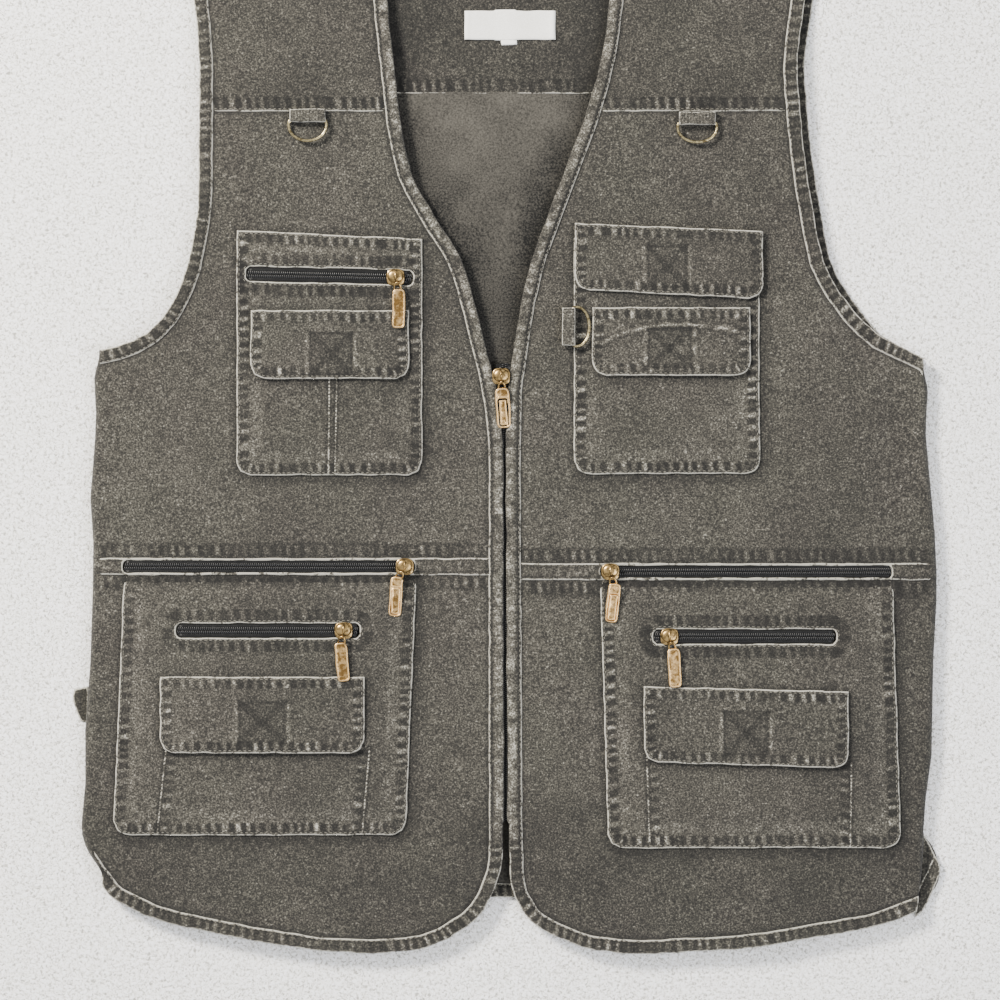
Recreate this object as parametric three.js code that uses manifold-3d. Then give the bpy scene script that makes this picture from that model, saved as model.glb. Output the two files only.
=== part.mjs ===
// Utility work vest of washed cotton twill, lying on its back with the front zip closed.
// Millimetres. +X is the viewer's right, +Y runs from the hem to the shoulders, +Z is up.
// Outlines are measured from the centre front line (x = 0) and the lowest point of the hem (y = 0).
import * as THREE from "three";
import { mergeVertices } from "three/addons/utils/BufferGeometryUtils.js";
import Module from "manifold-3d";

const wasm = await Module();
wasm.setup();

// Whole vest
const BODY_LENGTH = 707; // lowest point of the hem to the neck points
const HALF_WIDTH = 292; // centre front to the fold at the side
const ARMPIT_UP = { left: 416, right: 407 };
const HEM_CORNER_UP = { left: 55, right: 30 }; // where the hem meets the side
const SHOULDER_TIP_UP = BODY_LENGTH - 34;
const STRAP_HALF_SPAN = { left: 211, right: 202 }; // centre front to the straight armhole edge
const NECK_HALF_WIDTH = 84;
const NECK_DEPTH = 357; // neck points to the foot of the V
const BACK_NECK_DROP = 31;
const FRONT_CORNER_RISE = 80; // straight front edges end this far above the hem's lowest point
const BACK_HEM_UP = 39;
const BACK_SHOW = { left: -1.5, right: 6 }; // back armhole edge beyond the front's
const SIDE_VENT_UP = 84; // the right side is open below this, and the back's corner turns out
const VENT_FLARE = 14; // how far that corner turns out

// Cloth
const CLOTH = 1.5;
const LINING = 1;
const GAP = 0.3; // clear space between neighbouring pieces
const BINDING_WIDTH = 9.5;
const BINDING_THICK = 3; // cloth folded over on itself
const FRONT_LIFT = 9.2; // underside of the front above what the vest lies on
const SHOULDER_SLOPE = 62; // the front comes down to the back within this of the shoulder seam
const FOLD_RISE = 3.2; // the highest soft folds of the front
const YOKE_SEAM_UP = BODY_LENGTH - 125;
const BACK_YOKE_UP = BODY_LENGTH - 112;
const WAIST_UP = { left: 268, right: 264.5 };
const WAISTBAND_WIDTH = 11.7;
const LATTICE = 36; // spacing of the points that carry the folds
const EDGE_FINE = 6; // spacing at which a curved edge is followed
const EDGE_TRUE = 0.5; // points are kept where leaving them out would move the edge by this

// Pockets and flaps
const POCKET_PUFF = 2.2;
const PUFF_MARGIN = 30; // the puff reaches its height this far inside the pocket's edge
const POCKET_CLOTH = 1.3;
const FLAP_THICK = 1.9;
const CHEST_POCKET = { width: 128, height: 163 };
const CHEST_FLAP = { width: 109, height: 47.3 };
const WIDE_FLAP = { width: 129.5, height: 46.5 };
const LOWER_POCKET_WIDTH = 202;
const LOWER_POCKET_UP = { left: 82.8, right: 74 };
const LOWER_FLAP = { width: 141, height: 52.5 };
const POCKET_CORNER = 9.5;
const CORNER_POINT = 0.3; // a rounded corner's middle point, as a share of the corner

// Zips
const ZIP_WIDTH = 9.4;
const WAIST_ZIP_WIDTH = 7.8;
const ZIP_THICK = 1.6;
const ZIP_CORNER = 0.45; // corner of the window as a share of its half width
const CHEST_ZIP_LENGTH = 114;
const WELT_ZIP_LENGTH = 125.5;
const WAIST_ZIP_LENGTH = 200;
const FRONT_ZIP = {
  width: 9, top: BODY_LENGTH - NECK_DEPTH + 58, bottom: 92, sliderAcross: -2.6, sliderDown: 3,
};
const SLIDER = { width: 12.4, length: 11.6, height: 2.2, bevel: 0.8, corner: 2.4 };
const KEEL = { width: 4.6, length: 8.1, least: 0.2, sink: 0.1 }; // keel from the slider to the teeth
// Oval loop that holds the pull: its middle is set past the slider's end
const LOOP = { reach: 3.9, rise: 1.9, wire: 0.65, past: 2.4 };
const PULL = {
  width: 8.6, length: 27, thick: 1.5, round: 2.2, slot: 3, slotLong: 3.6, rim: 1.3, recess: 0.4,
};
const STEEPEST_PULL = 0.4; // radians from level
const PULL_FOOTING = 6; // half width of the patch that a pull's tip lies on

// D-rings and small trim
const RING_WIRE = 0.9; // radius
const RING_TAB = { depth: 9, wall: 1.1, tail: 0.2 };
const RING_SHOULDER = 0.32; // straight start of the bow as a share of its reach
const LABEL = { width: 63, height: 20, thick: 0.6, up: BODY_LENGTH - 64.5, across: 3.5 };
const SIZE_TAB = { width: 10.5, height: 3, across: 3 };
const SIDE_TAB = { length: 25, reach: 9, thick: 1.2, up: 172 };
// Free edge of the strap end: shares of its length and reach
const SIDE_TAB_EDGE = [
  { up: 0.92, out: 0.89 },
  { up: 0.66, out: 1 },
  { up: 0.26, out: 0.67 },
  { up: 0.04, out: 0.39 },
];

// Edge tables. up and out are shares of the sizes that each function names.
const SIDE_EDGE = {
  left: [
    { up: 0, out: 0.971 },
    { up: 0.05, out: 0.993 },
    { up: 0.09, out: 1.004 },
    { up: 0.18, out: 0.995 },
    { up: 0.28, out: 0.995 },
    { up: 0.41, out: 0.983 },
    { up: 0.62, out: 0.976 },
    { up: 0.72, out: 0.983 },
    { up: 0.87, out: 0.97 },
    { up: 1, out: 0.978 },
  ],
  right: [
    { up: 0, out: 0.974 },
    { up: 0.12, out: 0.99 },
    { up: 0.2, out: 0.997 },
    { up: 0.29, out: 1.012 },
    { up: 0.46, out: 1.016 },
    { up: 0.6, out: 1.024 },
    { up: 0.75, out: 1.014 },
    { up: 0.87, out: 0.998 },
    { up: 1, out: 1.009 },
  ],
};
const ARMHOLE_EDGE = {
  left: [
    { up: 0, out: 1 },
    { up: 0.025, out: 0.657 },
    { up: 0.065, out: 0.426 },
    { up: 0.132, out: 0.25 },
    { up: 0.21, out: 0.13 },
    { up: 0.303, out: 0.056 },
    { up: 0.4, out: 0.01 },
    { up: 0.6, out: 0 },
    { up: 0.79, out: 0 },
    { up: 1, out: 0.07 },
  ],
  right: [
    { up: 0, out: 1 },
    { up: 0.022, out: 0.93 },
    { up: 0.078, out: 0.605 },
    { up: 0.161, out: 0.373 },
    { up: 0.258, out: 0.205 },
    { up: 0.39, out: 0.119 },
    { up: 0.52, out: 0.06 },
    { up: 0.667, out: 0.015 },
    { up: 0.8, out: 0 },
    { up: 1, out: 0.08 },
  ],
};
const NECK_EDGE = {
  left: [
    { up: 1, out: 1 },
    { up: 0.865, out: 0.969 },
    { up: 0.687, out: 0.887 },
    { up: 0.6, out: 0.838 },
    { up: 0.519, out: 0.748 },
    { up: 0.44, out: 0.558 },
    { up: 0.373, out: 0.377 },
    { up: 0.3, out: 0.27 },
    { up: 0.2, out: 0.16 },
    { up: 0.12, out: 0.08 },
    { up: 0.05, out: 0.035 },
    { up: 0, out: 0.02 },
  ],
  right: [
    { up: 1, out: 0.92 },
    { up: 0.865, out: 0.863 },
    { up: 0.769, out: 0.805 },
    { up: 0.674, out: 0.706 },
    { up: 0.583, out: 0.567 },
    { up: 0.448, out: 0.345 },
    { up: 0.363, out: 0.221 },
    { up: 0.286, out: 0.139 },
    { up: 0.2, out: 0.075 },
    { up: 0.12, out: 0.03 },
    { up: 0.05, out: 0.02 },
    { up: 0, out: 0.015 },
  ],
};
const HEM_EDGE = {
  left: [
    { out: 0.005, up: 1 },
    { out: 0.007, up: 0.785 },
    { out: 0.019, up: 0.63 },
    { out: 0.05, up: 0.39 },
    { out: 0.11, up: 0.19 },
    { out: 0.19, up: 0.06 },
    { out: 0.27, up: 0.02 },
    { out: 0.36, up: 0.018 },
    { out: 0.459, up: 0.044 },
    { out: 0.64, up: 0.155 },
    { out: 0.806, up: 0.285 },
    { out: 0.872, up: 0.388 },
    { out: 0.93, up: 0.5 },
  ],
  right: [
    { out: 0.009, up: 1 },
    { out: 0.01, up: 0.8 },
    { out: 0.014, up: 0.62 },
    { out: 0.028, up: 0.466 },
    { out: 0.05, up: 0.336 },
    { out: 0.078, up: 0.241 },
    { out: 0.132, up: 0.138 },
    { out: 0.205, up: 0.051 },
    { out: 0.314, up: 0.009 },
    { out: 0.423, up: 0.026 },
    { out: 0.555, up: 0.051 },
    { out: 0.725, up: 0.146 },
    { out: 0.87, up: 0.24 },
  ],
};

// Back neck: place across the neck and share of BACK_NECK_DROP
const BACK_NECK_EDGE = [
  { across: 0, drop: 0 },
  { across: 0.28, drop: 0.86 },
  { across: 0.5, drop: 1 },
  { across: 0.72, drop: 0.86 },
  { across: 1, drop: 0 },
];
// Corner of the back below the vent: shares of its rise and of VENT_FLARE
const VENT_CORNER = [
  { up: 0, out: 0 },
  { up: 0.28, out: 0.85 },
  { up: 0.5, out: 1 },
  { up: 0.8, out: 0.55 },
  { up: 0.98, out: 0 },
];

// Soft folds of the front: place and size as shares of the half width and the body length,
// turn in degrees from level, rise as a share of FOLD_RISE.
const FOLDS = [
  { side: "left", out: 0.8, up: 0.44, long: 0.22, wide: 0.06, turn: 62, rise: 0.8 },
  { side: "left", out: 0.45, up: 0.4, long: 0.3, wide: 0.045, turn: 8, rise: 0.7 },
  { side: "left", out: 0.2, up: 0.3, long: 0.2, wide: 0.06, turn: 80, rise: 0.6 },
  { side: "left", out: 0.6, up: 0.07, long: 0.35, wide: 0.05, turn: -12, rise: 0.9 },
  { side: "left", out: 0.5, up: 0.87, long: 0.22, wide: 0.06, turn: 75, rise: 0.7 },
  { side: "left", out: 0.72, up: 0.2, long: 0.25, wide: 0.07, turn: 35, rise: 0.6 },
  { side: "right", out: 0.82, up: 0.45, long: 0.24, wide: 0.06, turn: -58, rise: 0.9 },
  { side: "right", out: 0.5, up: 0.41, long: 0.28, wide: 0.05, turn: -6, rise: 0.6 },
  { side: "right", out: 0.18, up: 0.33, long: 0.2, wide: 0.06, turn: 95, rise: 0.6 },
  { side: "right", out: 0.55, up: 0.06, long: 0.35, wide: 0.05, turn: 9, rise: 0.9 },
  { side: "right", out: 0.5, up: 0.86, long: 0.24, wide: 0.06, turn: 105, rise: 0.7 },
  { side: "right", out: 0.7, up: 0.22, long: 0.26, wide: 0.07, turn: -30, rise: 0.6 },
];

// The lower pockets reach up to the waistband
function toWaist(side) {
  const top = WAIST_UP[side] - WAISTBAND_WIDTH / 2 - GAP;
  return { width: LOWER_POCKET_WIDTH, height: top - LOWER_POCKET_UP[side] };
}

// Patch pockets: inset is the inner edge's distance from the centre front line, up is the lower edge.
// Leans are shares of the pocket's width or height, positive where the outer end or the top is
// higher or farther out.
const POCKETS = {
  chest_pocket_left: {
    side: "left", inset: 57, up: 331, size: CHEST_POCKET, topLean: 0.047, sideLean: 0,
  },
  chest_pocket_right: {
    side: "right", inset: 47.6, up: 332, size: CHEST_POCKET, topLean: -0.04, sideLean: 0,
  },
  lower_pocket_left: {
    side: "left", inset: 68, up: LOWER_POCKET_UP.left, size: toWaist("left"), topLean: 0, sideLean: -0.04,
  },
  lower_pocket_right: {
    side: "right", inset: 71, up: LOWER_POCKET_UP.right, size: toWaist("right"), topLean: 0, sideLean: -0.03,
  },
};
const FLAPS = {
  chest_flap_left: { on: "chest_pocket_left", inset: 66.2, up: 397.4, size: CHEST_FLAP, lean: 0 },
  chest_flap_right_upper: {
    on: "chest_pocket_right", inset: 48.4, up: 458.5, size: WIDE_FLAP, lean: -0.045,
  },
  chest_flap_right_lower: { on: "chest_pocket_right", inset: 60.2, up: 399.5, size: CHEST_FLAP, lean: 0 },
  lower_flap_left: { on: "lower_pocket_left", inset: 96.6, up: 139.7, size: LOWER_FLAP, lean: 0 },
  lower_flap_right: { on: "lower_pocket_right", inset: 95.6, up: 133.2, size: LOWER_FLAP, lean: -0.025 },
};
// Zips: across is the middle of the window from the centre front line, sliderAt the slider's
// place from the window's inner end as a share of its length. loopTurn and swing turn the
// slider's loop and the pull from straight down, in degrees.
const ZIPS = {
  chest_zip_left: {
    on: "chest_pocket_left", side: "left", across: 121, up: 468.5, length: CHEST_ZIP_LENGTH,
    width: ZIP_WIDTH, tilt: -1.4, sliderAt: 0.1, loopTurn: 11, swing: 0,
  },
  welt_zip_left: {
    on: "lower_pocket_left", side: "left", across: 163.2, up: 224, length: WELT_ZIP_LENGTH,
    width: ZIP_WIDTH, tilt: 0, sliderAt: 0.085, loopTurn: -10, swing: 6,
  },
  welt_zip_right: {
    on: "lower_pocket_right", side: "right", across: 165.3, up: 219.8, length: WELT_ZIP_LENGTH,
    width: ZIP_WIDTH, tilt: 0, sliderAt: 0.085, loopTurn: 14, swing: 3,
  },
  waist_zip_left: {
    on: "waistband_left", side: "left", across: 163, up: WAIST_UP.left, length: WAIST_ZIP_LENGTH,
    width: WAIST_ZIP_WIDTH, tilt: 0, sliderAt: 0.03, loopTurn: -28, swing: -4,
  },
  waist_zip_right: {
    on: "waistband_right", side: "right", across: 166.6, up: WAIST_UP.right, length: WAIST_ZIP_LENGTH,
    width: WAIST_ZIP_WIDTH, tilt: 0, sliderAt: 0.03, loopTurn: 14, swing: -6,
  },
};
// D-rings: x and y of the middle of the tab's mouth, turn of the bow in degrees from +X.
const RINGS = {
  yoke_ring_left: { x: -136, y: YOKE_SEAM_UP - 5.5, turn: -90, tab: 24.8, width: 28, bow: 17 },
  yoke_ring_right: { x: 132.5, y: YOKE_SEAM_UP - 7.5, turn: -90, tab: 24.8, width: 29, bow: 16 },
  side_ring: { x: 46, y: 433.3, turn: 0, tab: 26, width: 29, bow: 14 },
};

const SIDES = ["left", "right"];
const TALL = 60; // higher than anything on the vest
const TURN = Math.PI / 180;
const signOf = (side) => (side === "left" ? -1 : 1);
const ease = (t) => THREE.MathUtils.smoothstep(t, 0, 1);

// Solids from three.js geometry, and back
function solidOf(geometry) {
  const bare = geometry.clone();
  bare.deleteAttribute("normal");
  bare.deleteAttribute("uv");
  const merged = mergeVertices(bare, 1e-4);
  return new wasm.Manifold(
    new wasm.Mesh({
      numProp: 3,
      vertProperties: new Float32Array(merged.attributes.position.array),
      triVerts: new Uint32Array(merged.index.array),
    }),
  );
}

function geometryOf(solid) {
  const mesh = solid.getMesh();
  const geometry = new THREE.BufferGeometry();
  geometry.setAttribute("position", new THREE.Float32BufferAttribute(mesh.vertProperties, 3));
  geometry.setIndex(Array.from(mesh.triVerts));
  geometry.computeVertexNormals();
  return geometry;
}

function prism(points, low = -TALL, high = TALL) {
  const geometry = new THREE.ExtrudeGeometry(new THREE.Shape(points), {
    depth: high - low,
    bevelEnabled: false,
  });
  return solidOf(geometry.translate(0, 0, low));
}

function rectangle(x0, y0, x1, y1) {
  return [
    new THREE.Vector2(x0, y0),
    new THREE.Vector2(x1, y0),
    new THREE.Vector2(x1, y1),
    new THREE.Vector2(x0, y1),
  ];
}

// A block whose top and bottom follow two height functions, on the shared lattice, so that
// sheets stacked a fixed height apart stay parallel.
function wavySlab(low, high, bounds) {
  const i0 = Math.floor(bounds.min[0] / LATTICE) - 1;
  const i1 = Math.ceil(bounds.max[0] / LATTICE) + 1;
  const j0 = Math.floor(bounds.min[1] / LATTICE) - 1;
  const j1 = Math.ceil(bounds.max[1] / LATTICE) + 1;
  const columns = i1 - i0 + 1;
  const rows = j1 - j0 + 1;
  const layer = columns * rows;
  const positions = [];
  for (const height of [low, high]) {
    for (let j = 0; j < rows; j += 1) {
      for (let i = 0; i < columns; i += 1) {
        const x = (i0 + i) * LATTICE;
        const y = (j0 + j) * LATTICE;
        positions.push(x, y, height(x, y));
      }
    }
  }
  const faces = [];
  const quad = (a, b, c, d) => faces.push(a, b, c, a, c, d);
  for (let j = 0; j < rows - 1; j += 1) {
    for (let i = 0; i < columns - 1; i += 1) {
      const a = j * columns + i;
      const [b, c, d] = [a + 1, a + columns + 1, a + columns];
      quad(layer + a, layer + b, layer + c, layer + d);
      faces.push(a, c, b, a, d, c);
    }
  }
  for (let i = 0; i < columns - 1; i += 1) {
    const last = (rows - 1) * columns + i;
    quad(i, i + 1, layer + i + 1, layer + i);
    quad(last + 1, last, layer + last, layer + last + 1);
  }
  for (let j = 0; j < rows - 1; j += 1) {
    const first = j * columns;
    const end = first + columns - 1;
    quad(first + columns, first, layer + first, layer + first + columns);
    quad(end, end + columns, layer + end + columns, layer + end);
  }
  const geometry = new THREE.BufferGeometry();
  geometry.setAttribute("position", new THREE.Float32BufferAttribute(positions, 3));
  geometry.setIndex(faces);
  return solidOf(geometry);
}

// Cloth cut to a region and laid between two height functions
function cloth(region, low, high) {
  return region.intersect(wavySlab(low, high, region.boundingBox()));
}

// Edges of the front, each as points from the neck round to the shoulder tip
function curveThrough(points) {
  const curve = new THREE.SplineCurve(points);
  return thinned(curve.getSpacedPoints(Math.round(curve.getLength() / EDGE_FINE)));
}

// Only the points that the shape of a line needs
function thinned(points) {
  const first = points[0];
  const last = points[points.length - 1];
  const along = new THREE.Vector2().subVectors(last, first).normalize();
  let farthest = 0;
  let split = 0;
  points.forEach((point, i) => {
    const off = Math.abs(along.cross(new THREE.Vector2().subVectors(point, first)));
    if (off > farthest) {
      farthest = off;
      split = i;
    }
  });
  if (farthest < EDGE_TRUE) {
    return [first, last];
  }
  return [...thinned(points.slice(0, split + 1)).slice(0, -1), ...thinned(points.slice(split))];
}

// Each edge is worked out once
function once(work) {
  const known = new Map();
  return (side) => {
    if (!known.has(side)) {
      known.set(side, work(side));
    }
    return [...known.get(side)];
  };
}

const neckEdge = once((side) => {
  const foot = BODY_LENGTH - NECK_DEPTH;
  const rows = NECK_EDGE[side];
  const place = (row) =>
    new THREE.Vector2(signOf(side) * row.out * NECK_HALF_WIDTH, foot + row.up * NECK_DEPTH);
  return curveThrough(rows.map(place));
});

const frontEdge = once((side) => {
  const neck = neckEdge(side);
  const place = (row) =>
    new THREE.Vector2(signOf(side) * row.out * HALF_WIDTH, row.up * FRONT_CORNER_RISE);
  const hem = [...HEM_EDGE[side].map(place), sideEdge(side)[0]];
  return [neck[neck.length - 1], ...curveThrough(hem)];
});

const sideEdge = once((side) => {
  const low = HEM_CORNER_UP[side];
  const rise = ARMPIT_UP[side] - low;
  const place = (row) => new THREE.Vector2(signOf(side) * row.out * HALF_WIDTH, low + row.up * rise);
  return curveThrough(SIDE_EDGE[side].map(place));
});

function armholeEdge(side, show = 0) {
  const rise = SHOULDER_TIP_UP - ARMPIT_UP[side];
  const strap = STRAP_HALF_SPAN[side];
  const rows = SIDE_EDGE[side];
  const reach = rows[rows.length - 1].out * HALF_WIDTH - strap;
  const place = (row) => {
    const beyond = show * ease(row.up / 0.15);
    const out = strap + row.out * reach + beyond;
    return new THREE.Vector2(signOf(side) * out, ARMPIT_UP[side] + row.up * rise);
  };
  return curveThrough(ARMHOLE_EDGE[side].map(place));
}

function sideAt(side, y) {
  const points = sideEdge(side);
  for (let i = 1; i < points.length; i += 1) {
    if (y <= points[i].y) {
      const span = points[i].y - points[i - 1].y;
      const share = THREE.MathUtils.clamp((y - points[i - 1].y) / span, 0, 1);
      return THREE.MathUtils.lerp(points[i - 1].x, points[i].x, share);
    }
  }
  return points[points.length - 1].x;
}

// The same edge moved into the cloth by a distance, and the strip between two such edges
function movedIn(points, distance, side) {
  return points.map((point, i) => {
    const before = points[Math.max(0, i - 1)];
    const after = points[Math.min(points.length - 1, i + 1)];
    const along = new THREE.Vector2().subVectors(after, before).normalize();
    const inward = new THREE.Vector2(along.y, -along.x).multiplyScalar(-signOf(side) * distance);
    return new THREE.Vector2().addVectors(point, inward);
  });
}

// The same edge, run on straight past both of its ends
function overrun(points) {
  const last = points.length - 1;
  const beyond = (end, from) => {
    const along = new THREE.Vector2().subVectors(end, from).setLength(2 * BINDING_WIDTH);
    return along.add(end);
  };
  return [beyond(points[0], points[1]), ...points, beyond(points[last], points[last - 1])];
}

function strip(points, outer, inner, side) {
  return prism([...movedIn(points, outer, side), ...movedIn(points, inner, side).reverse()]);
}

// Heights of the stacked layers
const SHOULDER_LEVEL = BINDING_THICK + GAP + (BINDING_THICK - CLOTH) / 2;
const FOLD_RADIUS = (FRONT_LIFT + CLOTH) / 2;

function belowShoulder(x, y) {
  const side = x < 0 ? "left" : "right";
  const armhole = armholeEdge(side);
  const tip = armhole[armhole.length - 1];
  const neck = neckEdge(side)[0];
  const along = new THREE.Vector2().subVectors(neck, tip).normalize();
  const offset = new THREE.Vector2(x, y).sub(tip);
  return Math.max(0, signOf(side) * along.cross(offset));
}

function foldsAt(x, y) {
  let rise = 0;
  for (const fold of FOLDS) {
    const dx = x - signOf(fold.side) * fold.out * HALF_WIDTH;
    const dy = y - fold.up * BODY_LENGTH;
    const c = Math.cos(fold.turn * TURN);
    const s = Math.sin(fold.turn * TURN);
    const u = (dx * c + dy * s) / (fold.long * HALF_WIDTH);
    const v = (dy * c - dx * s) / (fold.wide * BODY_LENGTH);
    rise += fold.rise * FOLD_RISE * Math.exp(-u * u - v * v);
  }
  return rise;
}

function frontUnder(x, y) {
  const side = x < 0 ? "left" : "right";
  const fromSide = Math.abs(sideAt(side, y)) - FOLD_RADIUS - Math.abs(x);
  const calm = ease(fromSide / (3 * LATTICE)) * ease(Math.abs(x) / (2 * LATTICE));
  const level = SHOULDER_LEVEL
    + (FRONT_LIFT - SHOULDER_LEVEL) * ease(belowShoulder(x, y) / SHOULDER_SLOPE);
  return level + calm * ease(belowShoulder(x, y) / SHOULDER_SLOPE) * foldsAt(x, y);
}

const raised = (height, by) => (x, y) => height(x, y) + by;
const frontTop = raised(frontUnder, CLOTH);
const bindingUnder = raised(frontUnder, (CLOTH - BINDING_THICK) / 2);
const bindingTop = raised(bindingUnder, BINDING_THICK);

// Regions
const regions = {};
for (const side of SIDES) {
  const neck = neckEdge(side);
  const front = frontEdge(side);
  const armhole = armholeEdge(side);
  const opening = overrun([...neck, ...front.slice(1)]);
  const armEdge = overrun(armhole);
  regions[side] = {
    outline: prism([...neck, ...front.slice(1), ...sideEdge(side).slice(1), ...armhole.slice(1)]),
    front: strip(opening, -TALL, BINDING_WIDTH, side),
    frontCut: strip(opening, -TALL, BINDING_WIDTH + GAP, side),
    armhole: strip(armEdge, -TALL, BINDING_WIDTH, side),
    armholeCut: strip(armEdge, -TALL, BINDING_WIDTH + GAP, side),
  };
}

// The ground plan inside the turned side folds
function withinSides() {
  const line = [];
  for (const point of sideEdge("left")) {
    line.push(new THREE.Vector2(point.x + FOLD_RADIUS + GAP, point.y));
  }
  const top = BODY_LENGTH + TALL;
  line.push(new THREE.Vector2(line[line.length - 1].x, top));
  const vent = sideAt("right", SIDE_VENT_UP);
  const right = sideEdge("right").filter((point) => point.y < SIDE_VENT_UP);
  right.push(new THREE.Vector2(vent, SIDE_VENT_UP));
  right.push(new THREE.Vector2(vent - FOLD_RADIUS - GAP, SIDE_VENT_UP));
  for (const point of sideEdge("right").filter((each) => each.y > SIDE_VENT_UP)) {
    right.push(new THREE.Vector2(point.x - FOLD_RADIUS - GAP, point.y));
  }
  right.push(new THREE.Vector2(right[right.length - 1].x, top));
  right.reverse();
  const low = [new THREE.Vector2(right[right.length - 1].x, -TALL), new THREE.Vector2(line[0].x, -TALL)];
  return prism([...line, ...right, ...low]);
}
const inside = withinSides();

const meshes = [];
function addMesh(name, geometry, material) {
  const mesh = new THREE.Mesh(geometry, material);
  mesh.name = name;
  meshes.push(mesh);
  return mesh;
}
const addSolid = (name, solid, material) => addMesh(name, geometryOf(solid), material);

// Materials
const twill = new THREE.MeshStandardMaterial({ color: 0x6b675e, roughness: 0.92, metalness: 0 });
const twillEdge = new THREE.MeshStandardMaterial({ color: 0x5d5951, roughness: 0.92, metalness: 0 });
const liningCloth = new THREE.MeshStandardMaterial({ color: 0x605d56, roughness: 0.8, metalness: 0 });
const zipBlack = new THREE.MeshStandardMaterial({ color: 0x2c2b2a, roughness: 0.6, metalness: 0 });
const brass = new THREE.MeshStandardMaterial({ color: 0x9c7f52, roughness: 0.35, metalness: 1 });
const labelCloth = new THREE.MeshStandardMaterial({ color: 0xdedcd2, roughness: 0.75, metalness: 0 });

// Back of the vest
function backNeck() {
  const [left, right] = [neckEdge("left")[0].x, neckEdge("right")[0].x];
  const place = (row) =>
    new THREE.Vector2(
      THREE.MathUtils.lerp(left, right, row.across),
      BODY_LENGTH - row.drop * BACK_NECK_DROP,
    );
  return curveThrough(BACK_NECK_EDGE.map(place));
}

function backHem() {
  const left = sideEdge("left")[0];
  const right = sideEdge("right")[0];
  const half = HALF_WIDTH / 2;
  return curveThrough([
    left,
    new THREE.Vector2(-half, (left.y + 2 * BACK_HEM_UP) / 3),
    new THREE.Vector2(0, BACK_HEM_UP),
    new THREE.Vector2(half, (right.y + 3 * BACK_HEM_UP) / 4),
    right,
  ]);
}

// The back's lower right corner turns out past the side, below the vent
function ventCorner() {
  const low = sideEdge("right")[0];
  return VENT_CORNER.map((row) => {
    const y = THREE.MathUtils.lerp(low.y, SIDE_VENT_UP, row.up);
    return new THREE.Vector2(sideAt("right", y) + row.out * VENT_FLARE, y);
  });
}

function backPlan() {
  const hem = backHem();
  const leftArm = armholeEdge("left", BACK_SHOW.left);
  const rightArm = armholeEdge("right", BACK_SHOW.right);
  const rightSide = sideEdge("right").filter((point) => point.y > SIDE_VENT_UP);
  return [
    ...hem,
    ...ventCorner().slice(1),
    ...rightSide.slice(0, -1),
    ...rightArm,
    ...backNeck().reverse(),
    ...leftArm.reverse(),
    ...sideEdge("left").reverse().slice(1, -1),
  ];
}

function makeBack() {
  const backBox = rectangle(-2 * HALF_WIDTH, -TALL, 2 * HALF_WIDTH, 2 * BODY_LENGTH);
  const outline = prism(backPlan());
  const vent = prism([...ventCorner(), new THREE.Vector2(0, SIDE_VENT_UP), new THREE.Vector2(0, 0)]);
  const plan = outline.intersect(inside.add(vent));
  const bands = {
    back_hem: strip(backHem(), -TALL, BINDING_WIDTH, "right").intersect(plan),
    back_neck_binding: strip(backNeck(), -TALL, BINDING_WIDTH, "left").intersect(plan),
  };
  const neckCut = strip(backNeck(), -TALL, BINDING_WIDTH + GAP, "left");
  const cuts = [strip(backHem(), -TALL, BINDING_WIDTH + GAP, "right"), neckCut];
  for (const side of SIDES) {
    const edge = armholeEdge(side, BACK_SHOW[side]);
    bands[`back_armhole_binding_${side}`] = strip(edge, -TALL, BINDING_WIDTH, side)
      .intersect(plan)
      .subtract(neckCut);
    cuts.push(strip(edge, -TALL, BINDING_WIDTH + GAP, side));
  }
  let panel = plan;
  for (const cut of cuts) {
    panel = panel.subtract(cut);
  }
  const flat = (region, low, high) => region.intersect(prism(backBox, low, high));
  addSolid("back_panel", flat(panel, 0, CLOTH), twill);
  for (const [name, band] of Object.entries(bands)) {
    addSolid(name, flat(band, 0, BINDING_THICK), twillEdge);
  }

  const low = CLOTH + GAP;
  const upper = prism(rectangle(-2 * HALF_WIDTH, BACK_YOKE_UP + GAP / 2, 2 * HALF_WIDTH, 2 * BODY_LENGTH));
  const lower = prism(rectangle(-2 * HALF_WIDTH, -TALL, 2 * HALF_WIDTH, BACK_YOKE_UP - GAP / 2));
  const facing = insetFrom(panel);
  const seam = shoulderRibs().intersect(facing);
  const yoke = flat(facing.intersect(upper), low, low + LINING);
  const rib = flat(seam, low + LINING / 2, BINDING_THICK);
  addSolid("back_yoke_facing", yoke.add(rib), twill);
  addSolid("back_lining", flat(facing.intersect(lower), low, low + LINING), liningCloth);
}

// The lining stays clear of the turned side folds
function insetFrom(panel) {
  const shift = panel.translate([GAP, 0, 0]);
  return panel.intersect(shift).intersect(panel.translate([-GAP, 0, 0]));
}

// Seam allowances along the shoulders, between the back and the front
function shoulderRibs() {
  const ribs = SIDES.map((side) => {
    const armhole = armholeEdge(side);
    const line = [neckEdge(side)[0], armhole[armhole.length - 1]];
    return strip(line, 0, BINDING_WIDTH, side === "left" ? "right" : "left");
  });
  return ribs[0].add(ribs[1]);
}

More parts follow.
